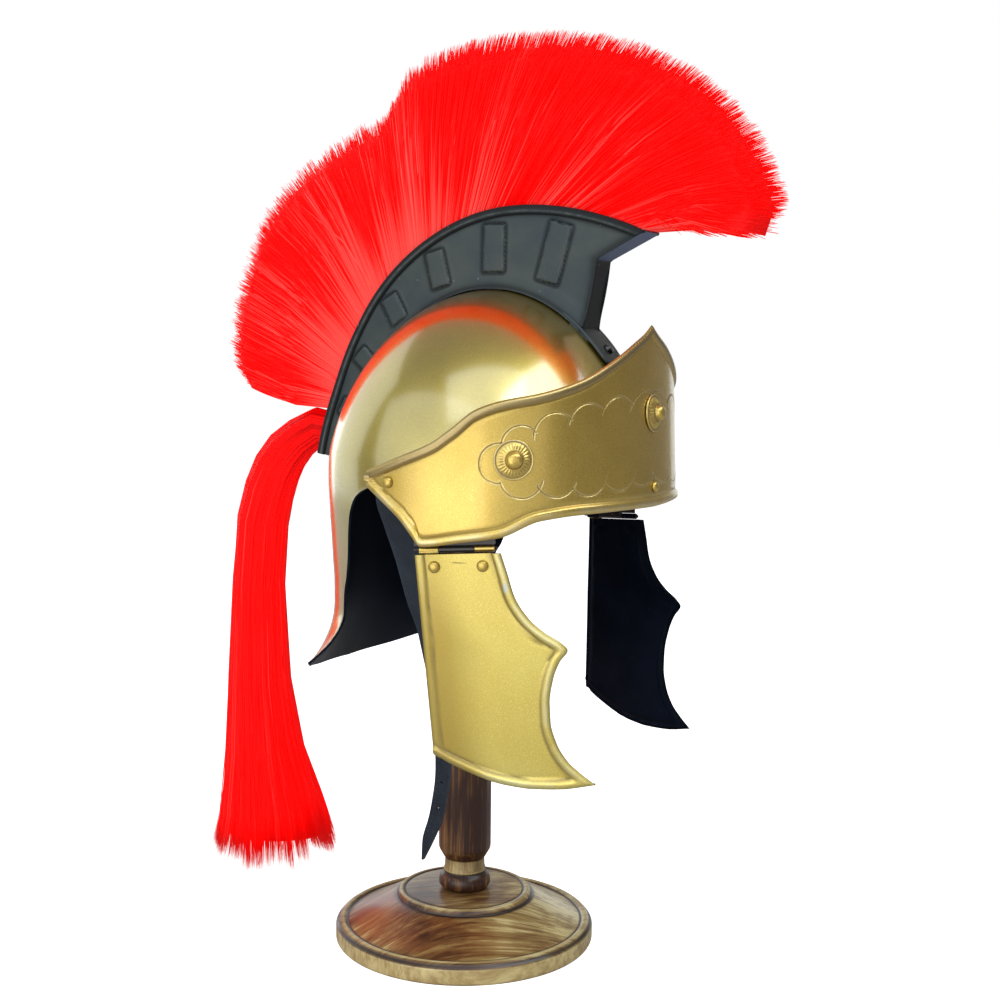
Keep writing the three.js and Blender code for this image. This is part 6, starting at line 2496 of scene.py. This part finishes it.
@dataclass
class ChinStrap:
    """The leather strap that hangs from the right side rivet."""

    paints: Paints
    width: float = 18.0
    thickness: float = 2.0
    length: float = 217.7
    inward: float = 52.2
    sway: float = 20.0
    clearance: float = 1.7
    hole: float = 0.85
    holes: tuple[float, float, float] = (0.712, 0.776, 0.85)
    stitch_inset: float = 2.3
    stitch_pitch: float = 3.1
    stitch_length: float = 1.9

    def top(self) -> Vector:
        """The strap's middle at its rivet.

        Returns:
            The place.
        """
        z = FORM.band_z(FORM.side_rivet, FORM.side_rivet_up)
        away = -FORM.bowl_wall - FORM.seat - self.thickness / 2
        spot = Vector(FORM.bowl(np.array([FORM.side_rivet]), np.array([z]), away)[0])
        spot.x += self.clearance
        return spot

    def middle(self, down: Array) -> Array:
        """The strap's middle line.

        Args:
            down: share of the way from the rivet to the free end.

        Returns:
            The places.
        """
        top = np.array(self.top())
        x = top[0] + STRAP_IN.at(down) * self.inward
        y = top[1] + STRAP_SWAY.at(down) * self.sway
        return np.stack([x, y, top[2] - down * self.length], -1)

    def spot(self, across: Array, down: Array) -> Array:
        """A place on the strap's outer face.

        Args:
            across: -1 at the front edge to 1.
            down: share of the way down.

        Returns:
            The places.
        """
        place = self.middle(down)
        place[:, 0] -= self.thickness / 2
        place[:, 1] += across * self.width * STRAP_WIDTH.at(down) / 2
        return place

    def build(self) -> None:
        """Builds the strap with its punched holes, and its stitches."""
        us = lines((-1, -0.8, 3), (-0.8, 0.8, 8), (0.8, 1, 3))
        vs = lines((-0.041, 0.93, 110), (0.93, 1, 18))
        edge = {"raised": lambda u, v: smooth_step(np.abs(u), 0.86, 1.0)}
        bm = mapped_grid(us, vs, self.spot, edge)
        face_away(bm, lambda place: place + Vector((5, 0, 0)))
        strap = Piece(
            "chin_strap_leather", bm, [self.paints.leather], Slot.LEATHER, stands_for=["chin_strap"],
            wall=self.thickness, bevel=0.35,
        ).place()
        for down in self.holes:
            centre = Vector(self.middle(np.array([down]))[0])
            punch(strap, centre, Vector((1, 0, 0)), self.hole)
        self.stitches()

    def stitches(self) -> None:
        """Small stitches along both edges, joined into one piece."""
        joined = bmesh.new()
        pitch = self.stitch_pitch
        count = int(self.length * 0.9 / pitch)
        for sign in (-1, 1):
            for i in range(count):
                down = 0.03 + i * pitch / self.length
                half = self.width * float(STRAP_WIDTH.at(down)) / 2
                if half < self.stitch_inset + 1.2:
                    continue
                across = sign * (1 - self.stitch_inset / half)
                along = np.array([down, down + self.stitch_length / self.length])
                ends = self.spot(np.full(2, across), along)
                start, end = Vector(ends[0]), Vector(ends[1])
                stitch = bmesh.new()
                bmesh.ops.create_icosphere(stitch, subdivisions=1, radius=0.5)
                length = (end - start).length
                bmesh.ops.scale(stitch, vec=(0.62, 0.62, length), verts=stitch.verts)
                stand_on(stitch, (start + end) / 2, (end - start).normalized())
                join_mesh(joined, stitch)
        Piece("chin_strap_stitches", joined, [self.paints.thread], Slot.LEATHER).place()


STRAP_KEYS = (-0.041, 0, 0.041, 0.113, 0.201, 0.302, 0.384, 0.518, 0.701, 0.761, 0.83, 0.887, 0.931, 1)
STRAP_IN = Table(
    STRAP_KEYS, (0.029, 0, 0.011, 0.119, 0.234, 0.368, 0.483, 0.655, 0.828, 0.866, 0.904, 0.943, 0.962, 1)
)
STRAP_SWAY = Table(
    STRAP_KEYS,
    (-0.01, 0.01, 0.165, 0.075, -0.105, -0.21, -0.345, -0.32, -0.2, -0.13, 0.035, 0.23, 0.44, 0.705),
)
STRAP_WIDTH = Table(STRAP_KEYS, (0.95, 1, 1, 1, 1, 0.95, 0.89, 0.7, 0.54, 0.51, 0.49, 0.48, 0.41, 0.07))


def dress_node(node: str, paint: bpy.types.Material) -> None:
    """Gives a CAD node its material.

    Args:
        node: the node's name.
        paint: its material.
    """
    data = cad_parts[node].data
    data.materials.clear()
    data.materials.append(paint)
    shade(data)


# ---- Studio


@dataclass
class Studio:
    """The floor, the lights and the camera."""

    focal: float = 1476.22
    frame_size: float = 1000.0
    sensor: float = 36.0
    floor_radius: float = 6.0
    aim_height: float = 0.28

    def build(self) -> None:
        """Builds the studio."""
        self.floor()
        self.lights()
        self.camera()

    def floor(self) -> None:
        """A plain pale flat floor."""
        bm = bmesh.new()
        bmesh.ops.create_circle(bm, cap_ends=True, segments=96, radius=self.floor_radius)
        made = add_object("studio_floor", as_data(bm, "floor"))
        recipe = Recipe("studio_floor")
        shade = recipe.noise(recipe.place(), 3.0, 2.0)
        colour = recipe.mix(shade, (0.93, 0.93, 0.93), (0.95, 0.95, 0.95))
        seen = recipe.node("ShaderNodeLightPath", {}, {}, 0)
        colour = recipe.mix(seen, (0.5, 0.49, 0.48), colour)
        glow = recipe.mix(seen, (0.0, 0.0, 0.0), (0.78, 0.78, 0.78))
        made.data.materials.append(
            recipe.finish(Base_Color=colour, Roughness=0.9, Emission_Color=glow, Emission_Strength=1.0)
        )

    def soft_box(
        self,
        name: str,
        azimuth: float,
        elevation: float,
        away: float,
        size: tuple[float, float],
        glow: float,
        tint: Colour,
    ) -> None:
        """An even rectangular light aimed at the object.

        Args:
            name: the light's name.
            azimuth: its direction from the object, 0 along +X and 90 along +Y, in degrees.
            elevation: its height angle in degrees.
            away: its distance in metres.
            size: width and height in metres.
            glow: its brightness, where 1 is a white wall.
            tint: its colour.
        """
        turn, rise = math.radians(azimuth), math.radians(elevation)
        direction = Vector(
            (math.cos(turn) * math.cos(rise), math.sin(turn) * math.cos(rise), math.sin(rise))
        )
        light = bpy.data.lights.new(name, "AREA")
        light.shape = "RECTANGLE"
        light.size, light.size_y = size
        light.energy = glow * math.pi * size[0] * size[1]
        light.color = tint
        made = add_object(name, light)
        made.visible_camera = False
        made.location = UP * self.aim_height + direction * away
        made.rotation_euler = (-direction).to_track_quat("-Z", "Y").to_euler()

    def lights(self) -> None:
        """Soft boxes, and a surround that is white to the camera and grey to the object."""
        world = bpy.data.worlds.new("studio_world")
        bpy.context.scene.world = world
        world.use_nodes = True
        tree = world.node_tree
        white = tree.nodes["Background"]
        white.inputs["Color"].default_value = (1.0, 1.0, 1.0, 1.0)
        grey = tree.nodes.new("ShaderNodeBackground")
        grey.inputs["Color"].default_value = (0.25, 0.23, 0.21, 1.0)
        path = tree.nodes.new("ShaderNodeLightPath")
        choice = tree.nodes.new("ShaderNodeMixShader")
        tree.links.new(path.outputs["Is Camera Ray"], choice.inputs[0])
        tree.links.new(grey.outputs[0], choice.inputs[1])
        tree.links.new(white.outputs[0], choice.inputs[2])
        tree.links.new(choice.outputs[0], tree.nodes["World Output"].inputs[0])
        neutral, cool = (1.0, 0.98, 0.95), (0.9, 1.0, 1.08)
        for box in (
            ("key", 176.0, 8.0, 2.2, (2.2, 1.1), 1.02, neutral),
            ("front_wall", -138.0, 0.0, 2.4, (2.6, 1.5), 0.6, neutral),
            ("card", 180.0, -14.0, 0.7, (0.6, 0.3), 1.55, neutral),
            ("broad", 170.0, 28.0, 3.0, (6.5, 2.6), 0.85, cool),
            ("left_wall", 78.0, 14.0, 2.4, (2.3, 2.8), 0.85, cool),
            ("window", -90.0, 50.0, 1.8, (1.9, 0.6), 3.6, cool),
            ("overhead", -150.0, 56.0, 2.2, (2.0, 1.1), 1.35, cool),
            ("top", 0.0, 90.0, 2.2, (4.2, 4.2), 0.12, neutral),
            ("rear_wall", 48.0, 8.0, 2.2, (1.6, 1.3), 1.0, cool),
            ("edge", 6.0, 3.0, 2.2, (0.8, 0.7), 1.0, cool),
        ):
            self.soft_box(*box)
        bpy.context.scene.view_settings.view_transform = "Standard"

    def camera(self) -> None:
        """The camera at the photograph's place and angle."""
        forward = Vector((0.87837809, 0.46864109, -0.09395454))
        right = Vector((0.47149705, -0.8818159, 0.00955261))
        above = Vector((0.07837386, 0.0526901, 0.99553066))
        data = bpy.data.cameras.new("camera")
        data.sensor_width = self.sensor
        data.sensor_fit = "HORIZONTAL"
        data.lens = self.focal / self.frame_size * data.sensor_width
        data.clip_start, data.clip_end = 0.01, 50.0
        matrix = Matrix((right, above, -forward)).transposed().to_4x4()
        matrix.translation = Vector((-0.74350118, -0.41808766, 0.3403454))
        made = add_object("camera", data)
        made.matrix_world = matrix
        bpy.context.scene.camera = made


def write_sizes() -> None:
    """Updates the view layer."""
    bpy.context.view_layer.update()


def main() -> None:
    """Builds every sub-assembly in order."""
    logging.basicConfig(level=logging.INFO, format="%(message)s")
    paints = Paints()
    parts = (
        Studio(), Stand(paints), Bowl(paints), BrowBand(paints), Crest(paints), Plume(paints),
        CheekGuards(paints), ChinStrap(paints),
    )
    for part in parts:
        part.build()
        LOG.info("%s built", type(part).__name__)
    write_sizes()


if __name__ == "__main__":
    main()
